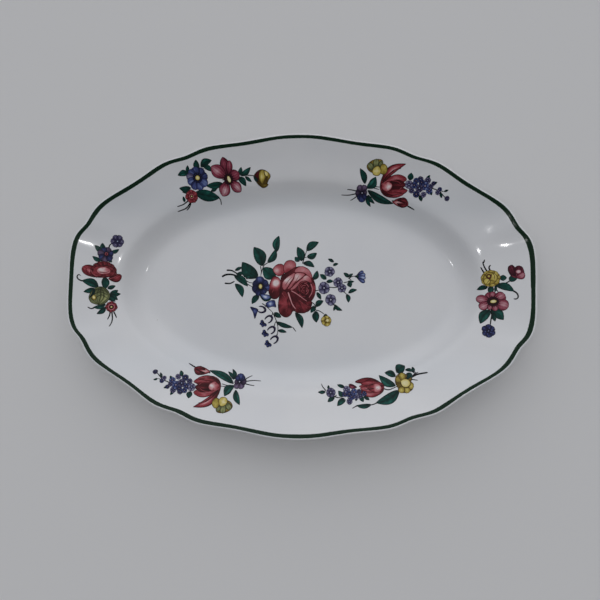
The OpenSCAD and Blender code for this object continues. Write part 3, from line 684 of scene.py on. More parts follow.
foliage = leaves([
    ((-50, 8.4), (-39.2, 0.2), 5.4, 0.08), ((-49, 2.2), (-43, -8.2), 5.2, 0.12),
    ((-48.5, 9.4), (-39.8, 11), 2.8), ((-49.6, 12.2), (-43.8, 15), 2.6),
    ((-31.8, 7), (-44.2, 18.8), 10.4, 0.1), ((-28.2, 16), (-35.4, 30.6), 9.4, -0.08),
    ((-24.5, 18.4), (-18.4, 29.4), 5.2, -0.12), ((-17.8, 27), (-16.3, 39.4), 5.8, 0.1),
    ((-18.2, 7), (-28, 14.8), 9.4, 0.05), ((-30.4, -6), (-35.8, -13.2), 4.6),
    ((-18.6, -19.4), (-13, -23), 3.8), ((-17.2, -26.4), (-4, -30.4), 3.6, -0.05),
    ((-15.6, -33), (-8.6, -34.2), 2.7), ((1.6, 20), (-2, 31), 6.2, -0.08),
    ((5, 28), (14.2, 34.8), 5.8, 0.1), ((5.4, 23), (13, 26.4), 4.8, -0.1),
    ((-0.2, 19.8), (-3.8, 23.2), 3.8), ((2.4, 18.6), (11.4, 15.6), 4.4, 0.12),
    ((10.6, 5.8), (13.6, 13), 4.2, -0.1), ((20.6, 6.4), (15.6, 10.2), 3.6),
    ((20.4, 4.4), (26, 5), 2.8), ((26, 19.6), (21.4, 22), 2.5), ((25.2, 17), (29.4, 18.4), 2.3),
    ((13.4, -3.4), (16.8, -9), 3), ((12.8, -14.4), (18.6, -9.8), 4.4, 0.1),
    ((11.6, -13.6), (9.2, -19.2), 3.4), ((13, -17.6), (13.6, -26.4), 5.4),
    ((-2.4, -19), (3, -30.8), 4.8, 0.1), ((38, 8.2), (33.4, 11.6), 3), ((37, 8.4), (40.6, 11), 2.2),
    ((36.6, 5.2), (41.6, 5), 2), ((37.6, 5), (39, 0.6), 4), ((37.2, -3.8), (43.8, -1.2), 3, 0.1),
    ((36, -4.4), (37.4, -11), 3.4, 0.1), ((26.6, -12.4), (33, -17), 3, -0.12),
    ((28.4, -13.4), (26.4, -17.4), 2.2)], centre)
foliage.dot((-39, 7.4), 1.7, 0.35, 0.3, oval=0.7, lean=0.4)
foliage.laid("centre_leaves", "leaf_green")

# The rose is painted from the back: three outer petals and the bloom's ground, the petals that
# fold round it, then the whorls of its heart and the pale edges that catch the light.
rose = Drawing([crimson], slide=centre)
rose.blob([(-20.4, 13.4), (-17.4, 17.2), (-13.2, 17.6), (-10.6, 14), (-12.6, 9.4), (-17, 8.6)],
          0.50, 0.40, (-17.4, 12.6), 2.6)
rose.blob([(-12.4, 15.4), (-10.6, 19.6), (-6.6, 20.8), (-3, 18.6), (-3.2, 13.6), (-7, 10.6),
           (-11.4, 10.8)], 0.50, 0.28, (-7.6, 17), 3.2, 2)
rose.blob([(-22, 4.4), (-19.4, 8.2), (-15.4, 7), (-13.6, 2), (-14, -4.6), (-16.6, -8.8),
           (-20.6, -8.8), (-23.2, -4.4), (-23.2, 0)], 0.20, 1.05, (-17.9, 3.0), 3.6, 3)
rose.blob([(-13.6, 8.6), (-8, 12.4), (-3.4, 15.4), (2, 16), (7.4, 13), (10, 8), (12.4, 1.8),
           (12, -5), (9.6, -10.4), (9.4, -14.6), (5.6, -18.8), (0.4, -19.2), (-4, -18.2),
           (-6.6, -21.8), (-10.4, -22.8), (-14.4, -20), (-15.8, -14), (-14.8, -5), (-14.4, 2)],
          0.20, 0.08, (-2, 2), 8.0, 7)
for outline, tone, light, glow, spread, streaks, hub in (
        ([(-3.6, 13.2), (-1, 15.6), (3, 16), (7.4, 13.4), (9.8, 8.6), (8.6, 6.4), (5.4, 9.8),
          (0.6, 11.6), (-3.6, 11.4)], 0.56, 0.22, (3, 13.6), 3.4, 2, (4, 12.6)),
        ([(-13.4, -3.6), (-15.4, -10), (-15.6, -16), (-13.4, -21), (-9.8, -23), (-6.4, -21.6),
          (-4.6, -17.8), (-6.4, -11.6), (-8.6, -5.8), (-10.6, -3)],
         0.28, 0.22, (-10.8, -12), 4.0, 5, None),
        ([(-7.8, -4.2), (-5, -10.8), (-3, -18), (1, -19.6), (5.6, -18.8), (3, -13.6), (-1.4, -8.4),
          (-5, -3.4)], 0.20, 0.15, (-0.6, -14), 3.0, 7, None),
        ([(-4.8, -3.4), (0, -7.6), (4.6, -11.6), (9.4, -14), (9, -16.6), (5.8, -18.8),
          (2.6, -15.8), (-0.8, -10.4)], 0.25, 0.18, (4.4, -14), 3.0, 6, None),
        ([(1.6, -7.8), (6, -10.6), (9.6, -10.2), (9.8, -14), (6.4, -13.6), (2.4, -10.6)],
         0.20, 0.16, (7, -12), 2.0, 5, None),
        ([(9.6, 4.4), (12.4, 1.6), (12.3, -5), (9.8, -10), (7.2, -9.4), (9.6, -5), (10.2, 0)],
         0.28, 0.18, (11.2, -1), 3.0, 3, (11, -2.5)),
        ([(-12.9, -0.4), (-12.8, 3.6), (-10.2, 7), (-6.6, 9.6), (-3.4, 11.2), (-4.4, 7.2),
          (-6.8, 3.4), (-9.4, -0.8), (-11.4, -2.2)], 0.70, 0.30, (-8.6, 6), 3.6, 2, None),
        ([(-8.8, -1.4), (-6.4, 3.2), (-4.2, 6.8), (-3, 10.6), (0.8, 11.4), (4.4, 10.2), (1, 6.8),
          (-3, 3.4), (-6.8, -0.6)], 0.68, 0.30, (-1.8, 8), 3.4, 2, None),
        ([(-6.8, -1.8), (-2.8, 2.4), (1, 6.2), (5.2, 9.4), (8.8, 7.2), (9.6, 3.6), (5.6, 4.8),
          (1.6, 3.8), (-1.6, 0.8), (-4.4, -1.6)], 0.60, 0.26, (4.6, 7.2), 3.0, 2, (3.4, 6.2)),
        ([(-1.4, 0.6), (1, 4.2), (5, 5.2), (8.6, 2.4), (9.2, -2.6), (7, -7), (3, -8), (0, -5.6),
          (-1.6, -2.4)], 0.12, 0.12, (4, -1), 4.0, 9, None)):
    rose.blob(outline, tone, light, glow, spread, streaks, hub=hub)
for reach, begin, sweep, width, tone in (
        (4.6, 60, 130, 0.7, 0.62), (4.5, 215, 70, 0.7, 0.56), (3.6, 20, 70, 0.8, 0.72),
        (3.5, 120, 90, 0.7, 0.60), (3.4, -70, 70, 0.7, 0.66), (2.4, 60, 100, 0.7, 0.70),
        (2.3, 190, 100, 0.7, 0.60), (2.3, -40, 70, 0.7, 0.74), (1.1, 60, 240, 0.7, 0.64)):
    rose.line([around((3.8, -1.4), begin + sweep * k / 6, reach, reach * 1.25) for k in range(7)],
              width, width * 0.8, tone)
for way, width, tone in (
        ([(8.8, 3), (10, -0.6), (9.7, -4), (7.6, -7.8)], 1.1, 0.88),
        ([(-6, -2.6), (-2, -4.8), (2.2, -7.7), (6.2, -10.5)], 1.1, 0.90),
        ([(-8.3, -3.8), (-6.6, -8.6), (-4.7, -13.2), (-2.3, -16.4)], 1.5, 0.96),
        ([(-12.8, -4.4), (-11.2, -7), (-9.6, -9)], 1.1, 0.60),
        ([(-8.8, -9), (-8, -14), (-8.4, -19)], 0.6, 0.10),
        ([(0.4, -10), (3.6, -13), (6.6, -16)], 0.6, 0.58),
        ([(-0.6, -15), (0.8, -17.4)], 0.8, 0.46),
        ([(-20.6, -4.4), (-19, -1.4), (-17.8, -0.4)], 0.8, 0.58),
        ([(-10.6, 1), (-8.4, 4.6), (-5.6, 8)], 0.5, 0.50),
        ([(-5.2, 1.6), (-2.4, 5), (-0.4, 8.8)], 0.5, 0.46)):
    rose.line(way, width, width * 0.5, tone)
rose.laid("centre_rose", "crimson_enamel")

daisy = Drawing([cobalt, yellow, leaf_green], slide=centre)
for angle, reach, width, tone, light in (
        (150, 7.0, 6.4, 0.16, 0.08), (205, 7.2, 6.6, 0.16, 0.08), (255, 7.4, 6.4, 0.22, 0.14),
        (-8, 7.0, 6.6, 0.34, 0.22), (42, 6.8, 6.2, 0.26, 0.16), (100, 8.0, 7.0, 0.30, 0.38),
        (-55, 6.6, 5.6, 0.22, 0.20)):
    daisy.petal((-29.3, 0.2), around((-29.3, 0.2), angle, reach), width, tone, light,
                widest=0.62, blunt=0.5, streaks=3.5, glow=(0.72, 0))
daisy.petal((-30.2, -5.6), (-20.8, -8.6), 5.4, 0.42, 0.0, bend=-0.12, blunt=0.5, paint=2)
daisy.petal((-29.6, -5.6), (-21.8, -8), 4.2, 0.62, 0.5, bend=-0.1, blunt=0.5, glow=(0.5, 0))
daisy.dot((-29.4, 0.2), 3.0, 0.04, 0.0, oval=1.1)
daisy.dot((-29.5, 0.3), 1.5, 0.62, 0.36, 1, oval=1.4, rim=0.6)
daisy.laid("centre_daisy", "blue_enamel")

bells = Drawing([cobalt, lilac], slide=centre)
bells.blob([(-25.2, -13), (-22.6, -10.6), (-18.6, -10), (-17.6, -12.6), (-17.2, -15.4),
            (-20, -15), (-23.4, -15.8)], 0.34, 0.66, (-21.6, -12.8), 1.9, 5)
bells.blob([(-31, -17), (-36.9, -15.4), (-34.8, -19.6), (-33.2, -24.4), (-31.6, -20.2)],
           0.24, 0.36, (-33.4, -18.6), 1.6, 5)
for x, y, lean, mouth in ((-28.6, -17.2, 2.95, None), (-22.8, -24.8, 3.9, (-26.6, -27.8)),
                          (-20.6, -33, 3.9, (-24.8, -35.2)), (-18.2, -40.2, 3.9, (-22.4, -43))):
    along = Vector((math.cos(lean), math.sin(lean)))
    across = along.orthogonal()
    for hand in (-1, 1):
        turns = [math.pi + hand * 0.5 * (k - 0.5) for k in range(6)]
        bells.line([Vector((x, y)) + along * 3.3 * math.cos(w) + across * 2.3 * math.sin(w)
                    for w in turns], 2.0, 0.8, 0.14, 1)
    for fan in (-1.5, -0.5, 0.5, 1.5) if mouth else ():
        w = lean + fan
        bells.petal(Vector(mouth) - along, (mouth[0] + 3.0 * math.cos(w), mouth[1] + 3.0
                                            * math.sin(w)), 2.5, 0.24, 0.3, blunt=0.7)
bells.laid("centre_bluebells", "blue_enamel")

lilacs = Drawing([lilac, yellow], slide=centre)
for middle, radius, start in (((22.9, 12.3), 4.1, 70), ((18.9, -0.2), 4.7, 100),
                              ((29.4, 4.2), 3.9, 80), ((32.4, -0.2), 3.5, 20),
                              ((24.1, -9), 4.5, 50)):
    blossom(lilacs, middle, radius, 5, 0.44, 0.36, 0, start, 0.92, 0.2)
    for gap in range(start + 36, start + 360, 72):
        lilacs.line([around(middle, gap, 0.4), around(middle, gap, radius * 0.6)], 0.4, 0.3, 0.06)
lilacs.laid("centre_forget_me_nots", "lilac_enamel")

cornflower = Drawing([cobalt, leaf_green], slide=centre)
for tip, width, tone in (((48.4, 13), 3, 0.34), ((50, 10.6), 3.2, 0.5), ((50.2, 7.8), 3.2, 0.56),
                         ((49.6, 4.4), 3.2, 0.36)):
    cornflower.petal((42.4, 8.8), tip, width, tone, 0.4, widest=0.72, blunt=0.5, glow=(0.75, 0))
cornflower.petal((41.6, 9), (45, 8.8), 2.0, 0.3, 0.1, paint=1)
cornflower.laid("centre_cornflower", "blue_enamel")

buttercup = Drawing([yellow, leaf_green], slide=centre)
buttercup.petal((20.6, -19.6), (20.4, -24), 4.0, 0.4, 0.1, paint=1)
blossom(buttercup, (21, -25), 4.3, 5, 0.46, 0.36, 0, 80, 0.95, 0.22)
buttercup.dot((22, -24.6), 1.5, 0.72, 0.25, rim=0.5)
buttercup.laid("centre_buttercup", "yellow_enamel")


# ---- The top left spray -------------------------------------------------------------------------
# Two anemones on the slope of the rim, with a yellow rosebud, a small red daisy and their leaves.
# The enamels are the same, with a claret that was brushed thin at the petals' middles.
claret = enamel_material(
    "claret_enamel", (0.0, (0.013, 0.002, 0.005)), (0.25, (0.064, 0.005, 0.016)),
    (0.5, (0.25, 0.043, 0.072)), (0.75, (0.48, 0.23, 0.27)), (1.0, (0.73, 0.57, 0.59)))
top_left = slide_to("top_left_blue_anemone", (-74.1, 75.6))

twigs = Drawing([ink], FIRST_COAT, slide=top_left)
for way in ([(-82.8, 61.6), (-87, 58.6), (-91.6, 56.8)], [(-81.6, 60.4), (-85, 56.4), (-91.6, 53.4)],
            [(-81.2, 60.2), (-82.6, 57.4), (-85, 54.8)], [(-42.5, 80.2), (-38, 80.6), (-33, 80.3)],
            [(-62.2, 66.4), (-59.6, 63.6), (-59.2, 60)], [(-84, 81), (-79, 80.6)],
            [(-42, 81.6), (-40, 80.2)], [(-73.6, 69), (-77, 66.6)], [(-70.6, 84.6), (-72.6, 82.4)]):
    twigs.line(way, 0.9, 0.6)
twigs.laid("top_left_stems", "stem_ink")

leaves([
    ((-75.2, 83), (-76, 90.2), 4.6), ((-72.8, 85.4), (-64.4, 90.4), 5.2, 0.12),
    ((-71, 86), (-64, 82.6), 3.8, 0.1), ((-82.6, 80.8), (-82.2, 86.2), 2.7),
    ((-81.6, 80.8), (-90, 79), 4.4, -0.1), ((-80.6, 70.6), (-89.4, 70), 4.6, 0.1),
    ((-80, 66.4), (-87.4, 67.4), 2.6), ((-85.8, 60.2), (-86.8, 64.4), 2.2),
    ((-57, 74.6), (-69.4, 72.4), 5, 0.06), ((-78, 67.2), (-59.8, 64.8), 7.8, -0.02),
    ((-66, 68.8), (-61, 70.8), 2.4), ((-44.6, 80.4), (-42.6, 86.2), 3.2),
    ((-43.6, 80.2), (-35.6, 86.2), 4, -0.08), ((-45.4, 79.2), (-39.4, 73), 4.6, 0.1),
    ((-40, 79.8), (-35, 76), 2.6)], top_left).laid("top_left_leaves", "leaf_green")

anemone = Drawing([cobalt, lilac, yellow], slide=top_left)
whorl(anemone, (-75.3, 77.5), 0.26, (
    (18, 7.8, 6, 0.26, 0), (62, 8.2, 6, 0.26, 0), (104, 8.2, 6.4, 0.34, 0),
    (140, 8.4, 5.4, 0.38, 0), (172, 8.6, 5.6, 0.44, 1), (206, 8.4, 6, 0.50, 0),
    (246, 8.8, 6.2, 0.38, 0), (284, 8.6, 6, 0.46, 0), (326, 8.4, 6.4, 0.50, 0)), (0.66, 0.1))
anemone.dot((-75.4, 77.8), 3.6, 0.03, 0.0)
for angle in range(0, 360, 30):
    anemone.dot(around((-75.4, 77.8), angle, 2.9), 0.34, 0.3, 0.2, rim=0.3)
anemone.dot((-75.4, 77.8), 1.8, 0.66, 0.3, 2, rim=0.5)
anemone.laid("top_left_blue_anemone", "blue_enamel")

anemone = Drawing([claret, yellow], slide=top_left)
for tip, width, tone, light in (
        ((-56.2, 92.8), 7.4, 0.30, 0.22), ((-65, 86.2), 9.6, 0.42, 0.38),
        ((-57.6, 65.8), 8.4, 0.48, 0.46), ((-43.4, 69.4), 7.6, 0.46, 0.42),
        ((-44.4, 82.4), 8.4, 0.40, 0.12)):
    anemone.petal((-52.4, 77.4), tip, width, tone, light, widest=0.62, blunt=0.72, streaks=5,
                  glow=(0.68, 0.1))
anemone.petal((-51.8, 80), (-51.4, 90.6), 5, 0.40, 0.2, widest=0.6)
for k in range(16):
    anemone.line([around((-52.4, 77.6), 22.5 * k + 8, 2), around((-52.4, 77.6), 22.5 * k + 8, 5, 5.4)],
                 0.9, 0.3, 0.04)
anemone.dot((-52.4, 77.5), 3.4, 0.02, 0.0, oval=1.15)
anemone.dot((-52, 77.5), 2.5, 0.84, 0.2, 1, oval=0.5, lean=1.9, rim=0.4)
anemone.laid("top_left_red_anemone", "claret_enamel")

bud = Drawing([yellow, leaf_green, crimson], slide=top_left)
bud.blob([(-33.4, 80), (-30.6, 83.6), (-27, 84.8), (-23.4, 83.4), (-21.9, 80), (-22.9, 76),
          (-25.4, 73), (-29, 73.2), (-31.8, 76)], 0.16, 0.1, (-27, 80), 4, 3)
bud.petal((-31, 77), (-22.6, 74.4), 3.4, 0.22, 0.16, bend=-0.2)
bud.petal((-30.6, 75.8), (-29.4, 83.6), 3.8, 0.20, 0.1, bend=0.1, paint=2)
bud.petal((-27.4, 74.4), (-26.6, 84.4), 5.6, 0.52, 0.42, blunt=0.5, glow=(0.5, 0.1))
bud.petal((-24.6, 75.6), (-25, 84.2), 3.0, 0.40, 0.3, bend=-0.3)
bud.blob([(-25.4, 80.8), (-25.8, 83.8), (-23, 83.2), (-22.1, 80.8), (-23.6, 79.6)], 0.5, 0.4)
bud.line([(-25.6, 83.8), (-24.8, 80.6), (-22.4, 79.2)], 0.6, 0.4, 0.1)
bud.petal((-33.6, 80.4), (-30.8, 76.2), 2.4, 0.3, 0.1, paint=1)
bud.laid("top_left_yellow_bud", "yellow_enamel")

small_daisy = Drawing([crimson, yellow], slide=top_left)
blossom(small_daisy, (-80.4, 64.6), 4.8, 7, 0.40, 0.14, 1, 90, 1.15, 0.14)
small_daisy.hoop((-80.4, 64.6), 1.5, 0.5, 0.62)
small_daisy.laid("top_left_red_daisy", "scarlet_enamel")


# ---- The top right and bottom left sprays -------------------------------------------------------
# One transfer used twice: a feathered tulip with a pansy, a yellow rosebud, a red bud and a long
# spike of larkspur. The second is turned half round, and lies nearer the middle of its side.
violet = enamel_material(
    "violet_enamel", (0.0, (0.006, 0.003, 0.012)), (0.3, (0.046, 0.029, 0.062)),
    (0.55, (0.13, 0.090, 0.16)), (0.8, (0.28, 0.22, 0.33)), (1.0, (0.61, 0.55, 0.65)))
olive = enamel_material(
    "olive_enamel", (0.0, (0.009, 0.010, 0.004)), (0.3, (0.064, 0.074, 0.030)),
    (0.55, (0.19, 0.21, 0.090)), (0.8, (0.40, 0.41, 0.17)), (1.0, (0.66, 0.63, 0.34)))


def florets(drawing, tone, step, plan):
    """A spike of small flowers, lilac and cobalt by turns, from a plan of (x, y, radius)."""
    for k, (x, y, radius) in enumerate(plan):
        blossom(drawing, (x, y), radius, 5, tone + 0.12 * (k % 3), 0.30, 1 + k % 2, step * k, 0.9,
                0.2, k % 2)


for side, turn, drawn_at in (("top_right", 0.0, (94.8, 70.5)),
                             ("bottom_left", math.pi, (93.1, 70.9))):
    slide = slide_to(side + "_larkspur", drawn_at, turn)

    twigs = Drawing([ink], FIRST_COAT, turn, slide)
    for way in ([(43.4, 71.4), (39, 72.4), (35.6, 72.8)], [(43, 70), (37, 69.2), (31.2, 69.4)],
                [(43.6, 68.8), (40.6, 66.8), (38, 65.6)], [(50.4, 73.4), (55, 74), (60, 73.6)],
                [(50.4, 73), (54.4, 73.2), (59.6, 72)], [(51.4, 75), (53, 78.4), (56.4, 80.6)],
                [(78.6, 61.4), (82, 59.4), (85.8, 57.4)], [(97, 72), (101, 70.4), (106, 69)],
                [(103, 69.4), (106, 66), (108, 64)], [(88.4, 68), (89.6, 65)]):
        twigs.line(way, 0.8, 0.5)
    twigs.line([(69, 64.4), (75, 62.4), (80.6, 60.4), (85.4, 57.6)], 0.9, 0.7)
    twigs.laid(side + "_stems", "stem_ink")

    leaves([
        ((49, 76), (45, 86.8), 4.6, -0.08), ((50.4, 73), (56.8, 80.8), 5.8, -0.16),
        ((50.8, 71.8), (70.2, 62.4), 5.0, -0.06), ((50.4, 68.6), (53.4, 61), 2.9, -0.08),
        ((51, 69), (56.4, 63), 2.6, -0.06), ((81.6, 77.6), (82.4, 82.8), 4.4),
        ((88.8, 67.2), (90.4, 62.8), 3), ((93.4, 77), (95.8, 80.8), 2.4),
        ((95.6, 71), (97.6, 66.8), 2.6), ((97, 74), (101.2, 75.8), 2.2),
        ((103.6, 68.4), (104.8, 64.6), 2), ((106, 69), (109.2, 70), 1.6)],
        slide, turn).laid(side + "_leaves", "leaf_green")

    pansy = Drawing([violet, cobalt, lilac], turn=turn, slide=slide)
    whorl(pansy, (46.7, 70.3), 0.24, (
        (60, 5.6, 4.6, 0.40, 0), (118, 5.6, 4.6, 0.40, 0), (180, 5, 4.8, 0.14, 0),
        (4, 4, 4.2, 0.16, 0), (236, 5.2, 3.6, 0.24, 1), (272, 6.2, 5.4, 0.34, 1),
        (308, 5, 3.6, 0.24, 1)))
    pansy.dot((46.8, 70.3), 1.3, 0.04, 0.0)
    pansy.dot((46.9, 70.2), 0.62, 0.9, 0.1, 2, rim=0.3)
    pansy.laid(side + "_pansy", "violet_enamel")

    bud = Drawing([yellow, olive], turn=turn, slide=slide)
    bud.blob([(50, 88.6), (53, 91.6), (57.6, 92.8), (61.6, 91.4), (60, 86), (54.6, 83.6),
              (51, 85.4)], 0.30, 0.16, (55, 89), 3, 5)
    for base, tip, width, tone in (((55.6, 84.6), (51.2, 90.2), 4.2, 0.62),
                                   ((56.6, 85.6), (56.8, 93), 4.6, 0.66),
                                   ((58, 86), (61.4, 91.6), 3.4, 0.56)):
        bud.petal(base, tip, width, tone - 0.12, 0.2, streaks=4, vein=0.2, paint=1)
    bud.blob([(59.6, 84), (60.4, 88.8), (63, 89.4), (65.2, 86.6), (64.4, 83.2), (62, 82)],
             0.40, 0.24, (62.6, 86.4), 2.6, 4)
    bud.blob([(54, 84.8), (55.6, 87.4), (58.8, 88), (60.6, 85), (59.6, 82), (57, 81.3),
              (54.6, 82.4)], 0.58, 0.34, (57, 84.6), 2.6, 4)
    bud.laid(side + "_yellow_bud", "yellow_enamel")

    tulip = Drawing([crimson, yellow], turn=turn, slide=slide)
    tulip.blob([(59.8, 73.6), (61.4, 80.4), (65.4, 80.6), (71, 81.4), (76, 80.8), (78.6, 78.4),
                (76.6, 76.8), (78.6, 74.6), (77, 73), (80, 70.8), (77.6, 68.8), (73.4, 66.6),
                (67, 66.4), (62, 68.8)], 0.30, 0.06, (70, 70), 5, 7)
    tulip.petal((61, 77.6), (78.4, 88.8), 6.0, 0.36, 0.50, bend=0.12, widest=0.42, blunt=0.8,
                glow=(0.52, -0.1))
    tulip.petal((61.4, 75.6), (79.4, 78.6), 6.4, 0.40, 0.34, bend=0.08, glow=(0.5, 0.2))
    tulip.petal((60.8, 71), (80.2, 70.8), 6.0, 0.38, 0.2, bend=-0.08, widest=0.52)
    tulip.petal((62, 72), (77.6, 68.4), 4.4, 0.40, 0.24, bend=-0.12, widest=0.5)
    tulip.petal((64, 74.2), (78.8, 74.6), 6.6, 0.16, 0.18, bend=0.05, widest=0.5)
    tulip.blob([(61, 73.2), (62.4, 76.8), (66.4, 77.2), (69, 75), (68, 71.8), (64.4, 70.2)],
               0.50, 0.52, (66.4, 73.6), 2.6, 5)
    for way, tone in (([(61, 75.4), (66, 78.2), (71, 79), (77, 78)], 0.72),
                      ([(68, 78), (73, 77), (76, 74)], 0.58),
                      ([(68.6, 70.6), (73, 70.8), (76, 73)], 0.62),
                      ([(66, 82), (70, 85), (75, 85.8)], 0.10),
                      ([(61.8, 76), (65, 81.4), (70, 84.6)], 0.05),
                      ([(62, 70), (68, 68), (76, 68.6)], 0.06),
                      ([(68, 76.4), (72.4, 76.2), (75.6, 74.6)], 0.05)):
        tulip.line(way, 0.7, 0.4, tone)
    tulip.laid(side + "_tulip", "crimson_enamel")

    bud = Drawing([crimson, leaf_green], turn=turn, slide=slide)
    bud.petal((69.2, 63.6), (81.2, 61.2), 6.2, 0.46, 0.6, bend=0.05, widest=0.6, glow=(0.3, -0.2))
    bud.petal((72.6, 64.2), (80.8, 62.2), 3.6, 0.18, 0.2, bend=0.14)
    bud.petal((72.6, 62.6), (80.6, 61), 2.8, 0.28, 0.16, bend=-0.12)
    bud.laid(side + "_red_bud", "claret_enamel")

    larkspur = Drawing([lilac, cobalt, violet], turn=turn, slide=slide)
    florets(larkspur, 0.26, 40, (
        (108.4, 64.2, 1.9), (103, 70.6, 1.8), (101.6, 68.6, 1.9), (98.4, 74.8, 1.7),
        (94.2, 77, 2.4), (95.6, 70, 2.5), (89, 78, 2.3), (86, 77.2, 2.2), (91.6, 67.4, 2.2),
        (86.4, 68, 2.6), (83, 70.6, 2.2), (92.6, 73.4, 3.2), (88.6, 72, 3.1), (84.8, 74.2, 2.6),
        (81, 74.8, 3.1), (90, 76, 2.2), (96.6, 73, 1.9)))
    larkspur.laid(side + "_larkspur", "indigo_enamel")


# ---- The bottom right spray ---------------------------------------------------------------------
# A gold double flower on a twig, a tulip that points to the middle, and small blue and violet
# flowers on trailing stems.
bottom_right = slide_to("bottom_right_gold_flower", (78.3, -69.1))

twigs = Drawing([ink], FIRST_COAT, slide=bottom_right)
twigs.line([(81.6, -65.8), (85, -64.2), (88.6, -62.6), (95.6, -61.2)], 1.6, 1.0)
for way in ([(82, -66.4), (85, -66.6), (88.6, -66.9)], [(84, -64.8), (86.4, -62.4), (89, -61.2)],
            [(80, -60), (84, -60.6), (87, -62.6)], [(84.8, -57.8), (85.8, -60.4), (88, -62.4)],
            [(63.6, -73.4), (68, -74.2), (74, -71.6)], [(64, -72), (66, -70.6)],
            [(60, -83.4), (57, -84.8), (53, -85.8)], [(46, -86), (43.6, -87), (41.8, -88.2)],
            [(28, -79.8), (31, -80.8), (36.4, -81.2)], [(22.6, -76.4), (19.8, -73.4), (18.8, -71.4)],
            [(30.4, -79), (28.6, -81)], [(40, -84), (38.4, -80)]):
    twigs.line(way, 0.9, 0.5)
twigs.laid("bottom_right_stems", "stem_ink")

leaves([
    ((73.6, -62), (79.8, -56.8), 7, 0.1), ((73, -64.6), (65, -62.2), 4.8, -0.1),
    ((72.8, -71.4), (60.8, -64.2), 5.8, 0.1), ((75.4, -74.4), (58.6, -83.8), 7.4, 0.1),
    ((55.6, -85), (44.4, -86), 3.4, 0.08), ((79.6, -59.8), (86, -61), 2.6, 0.1),
    ((84.8, -57.4), (86.2, -61.6), 2.2), ((80.6, -62), (84.4, -66), 4, 0.1),
    ((36.2, -73.6), (30.4, -71.8), 2.6), ((36.6, -79.6), (31.4, -76), 3.8, 0.12),
    ((37, -82), (31, -86.8), 4.2, -0.1), ((47.6, -78.6), (49.8, -83.4), 3.4),
    ((49.8, -78.8), (54.2, -82), 2.8), ((22.4, -77), (16.6, -77.4), 2.6),
    ((24.2, -75.4), (24, -72.2), 1.9), ((29, -80.6), (24, -84.2), 3.4),
    ((44.8, -79.8), (44.4, -83), 2.2)], bottom_right).laid("bottom_right_leaves", "leaf_green")

gold = Drawing([yellow, leaf_green], slide=bottom_right)
gold.blob([(72.4, -69), (73, -64.6), (76.6, -62), (80.4, -63), (82.6, -66.4), (84.6, -69),
           (85, -73), (81.6, -75.6), (77, -76), (74.6, -73.4)], 0.28, 0.1, (76, -66), 4, 5)
for base, tip, width, tone, light in (
        ((78.6, -69), (73, -65.6), 5.4, 0.36, 0.2), ((78.6, -69), (77, -61.8), 5.2, 0.42, 0.34),
        ((79, -70), (83.6, -64.4), 4.4, 0.26, 0.1), ((79, -70), (85.6, -71.6), 5.4, 0.50, 0.3),
        ((78.6, -70.4), (82, -76), 5, 0.48, 0.3), ((78.4, -70.4), (76, -76.2), 5, 0.46, 0.34)):
    gold.petal(base, tip, width, tone, light, widest=0.66, blunt=0.5, streaks=4)
gold.petal((80.6, -66.8), (83.4, -62.4), 3, 0.4, 0.1, paint=1)
gold.dot((79.6, -69.2), 3.7, 0.72, 0.26, oval=0.82, rim=0.9)
gold.line([(76, -68), (77.4, -71.4), (81, -72.4), (83.6, -70)], 0.7, 0.4, 0.1)
gold.laid("bottom_right_gold_flower", "yellow_enamel")

tulip = Drawing([crimson], slide=bottom_right)
tulip.petal((64.2, -72), (43.4, -69.4), 5.2, 0.28, 0.14, bend=-0.10, widest=0.45)
tulip.blob([(64.6, -72.6), (63, -69.6), (57.6, -68.4), (51.6, -69.6), (48.6, -71.2), (46.4, -72.6),
            (49.4, -74), (47, -75.6), (49.8, -77.6), (54, -79.4), (59.6, -78.8), (63.6, -76)],
           0.38, 0.14, (57, -72), 4, 7)
for base, tip, width, tone, light, bend in (
        ((64, -71.8), (47.6, -70.6), 4.4, 0.36, 0.24, -0.08),
        ((64, -74.4), (48, -77), 4.8, 0.46, 0.28, 0.12),
        ((63.6, -73.6), (47.2, -73.8), 4.8, 0.50, 0.24, 0.04)):
    tulip.petal(base, tip, width, tone, light, bend=bend, widest=0.5, streaks=5)
tulip.blob([(63, -73.4), (60.6, -70.2), (55.6, -70.4), (51.6, -72.6), (55.4, -75.8), (60.8, -76.6)],
           0.36, 0.70, (60, -73), 2.8, 5)
for way, tone in (([(62.4, -70.8), (58, -69.8), (51, -71), (48, -72.4)], 0.60),
                  ([(61.6, -76.6), (56, -77.6), (51, -76.4)], 0.66), ([(57, -71), (53, -71.8)], 0.1),
                  ([(57.4, -73.6), (53, -74.4), (50, -74.2)], 0.06)):
    tulip.line(way, 0.7, 0.4, tone)
tulip.laid("bottom_right_tulip", "crimson_enamel")

bud = Drawing([claret], slide=bottom_right)
bud.petal((45, -73), (38.8, -71.6), 3.4, 0.26, 0.14, bend=0.1)
bud.petal((45, -73.4), (39.4, -73), 2.4, 0.40, 0.24)
bud.laid("bottom_right_red_bud", "claret_enamel")

cluster = Drawing([lilac, cobalt, violet], slide=bottom_right)
florets(cluster, 0.30, 50, (
    (47.4, -78.8, 2.3), (50.4, -77.6, 1.9), (44.8, -80, 2), (36.4, -78.2, 2.3),
    (39.8, -83.2, 2.4), (43, -76.6, 2.8), (46.6, -76, 1.9), (41.4, -80, 2.4),
    (37.6, -75, 2.8), (39.4, -78, 2.5)))
cluster.laid("bottom_right_blue_cluster", "indigo_enamel")

flower = Drawing([lilac, yellow], slide=bottom_right)
blossom(flower, (26, -77.4), 3.6, 6, 0.34, 0.3, 0, 60, 1.15, 0.18)
flower.laid("bottom_right_blue_flower", "lilac_enamel")


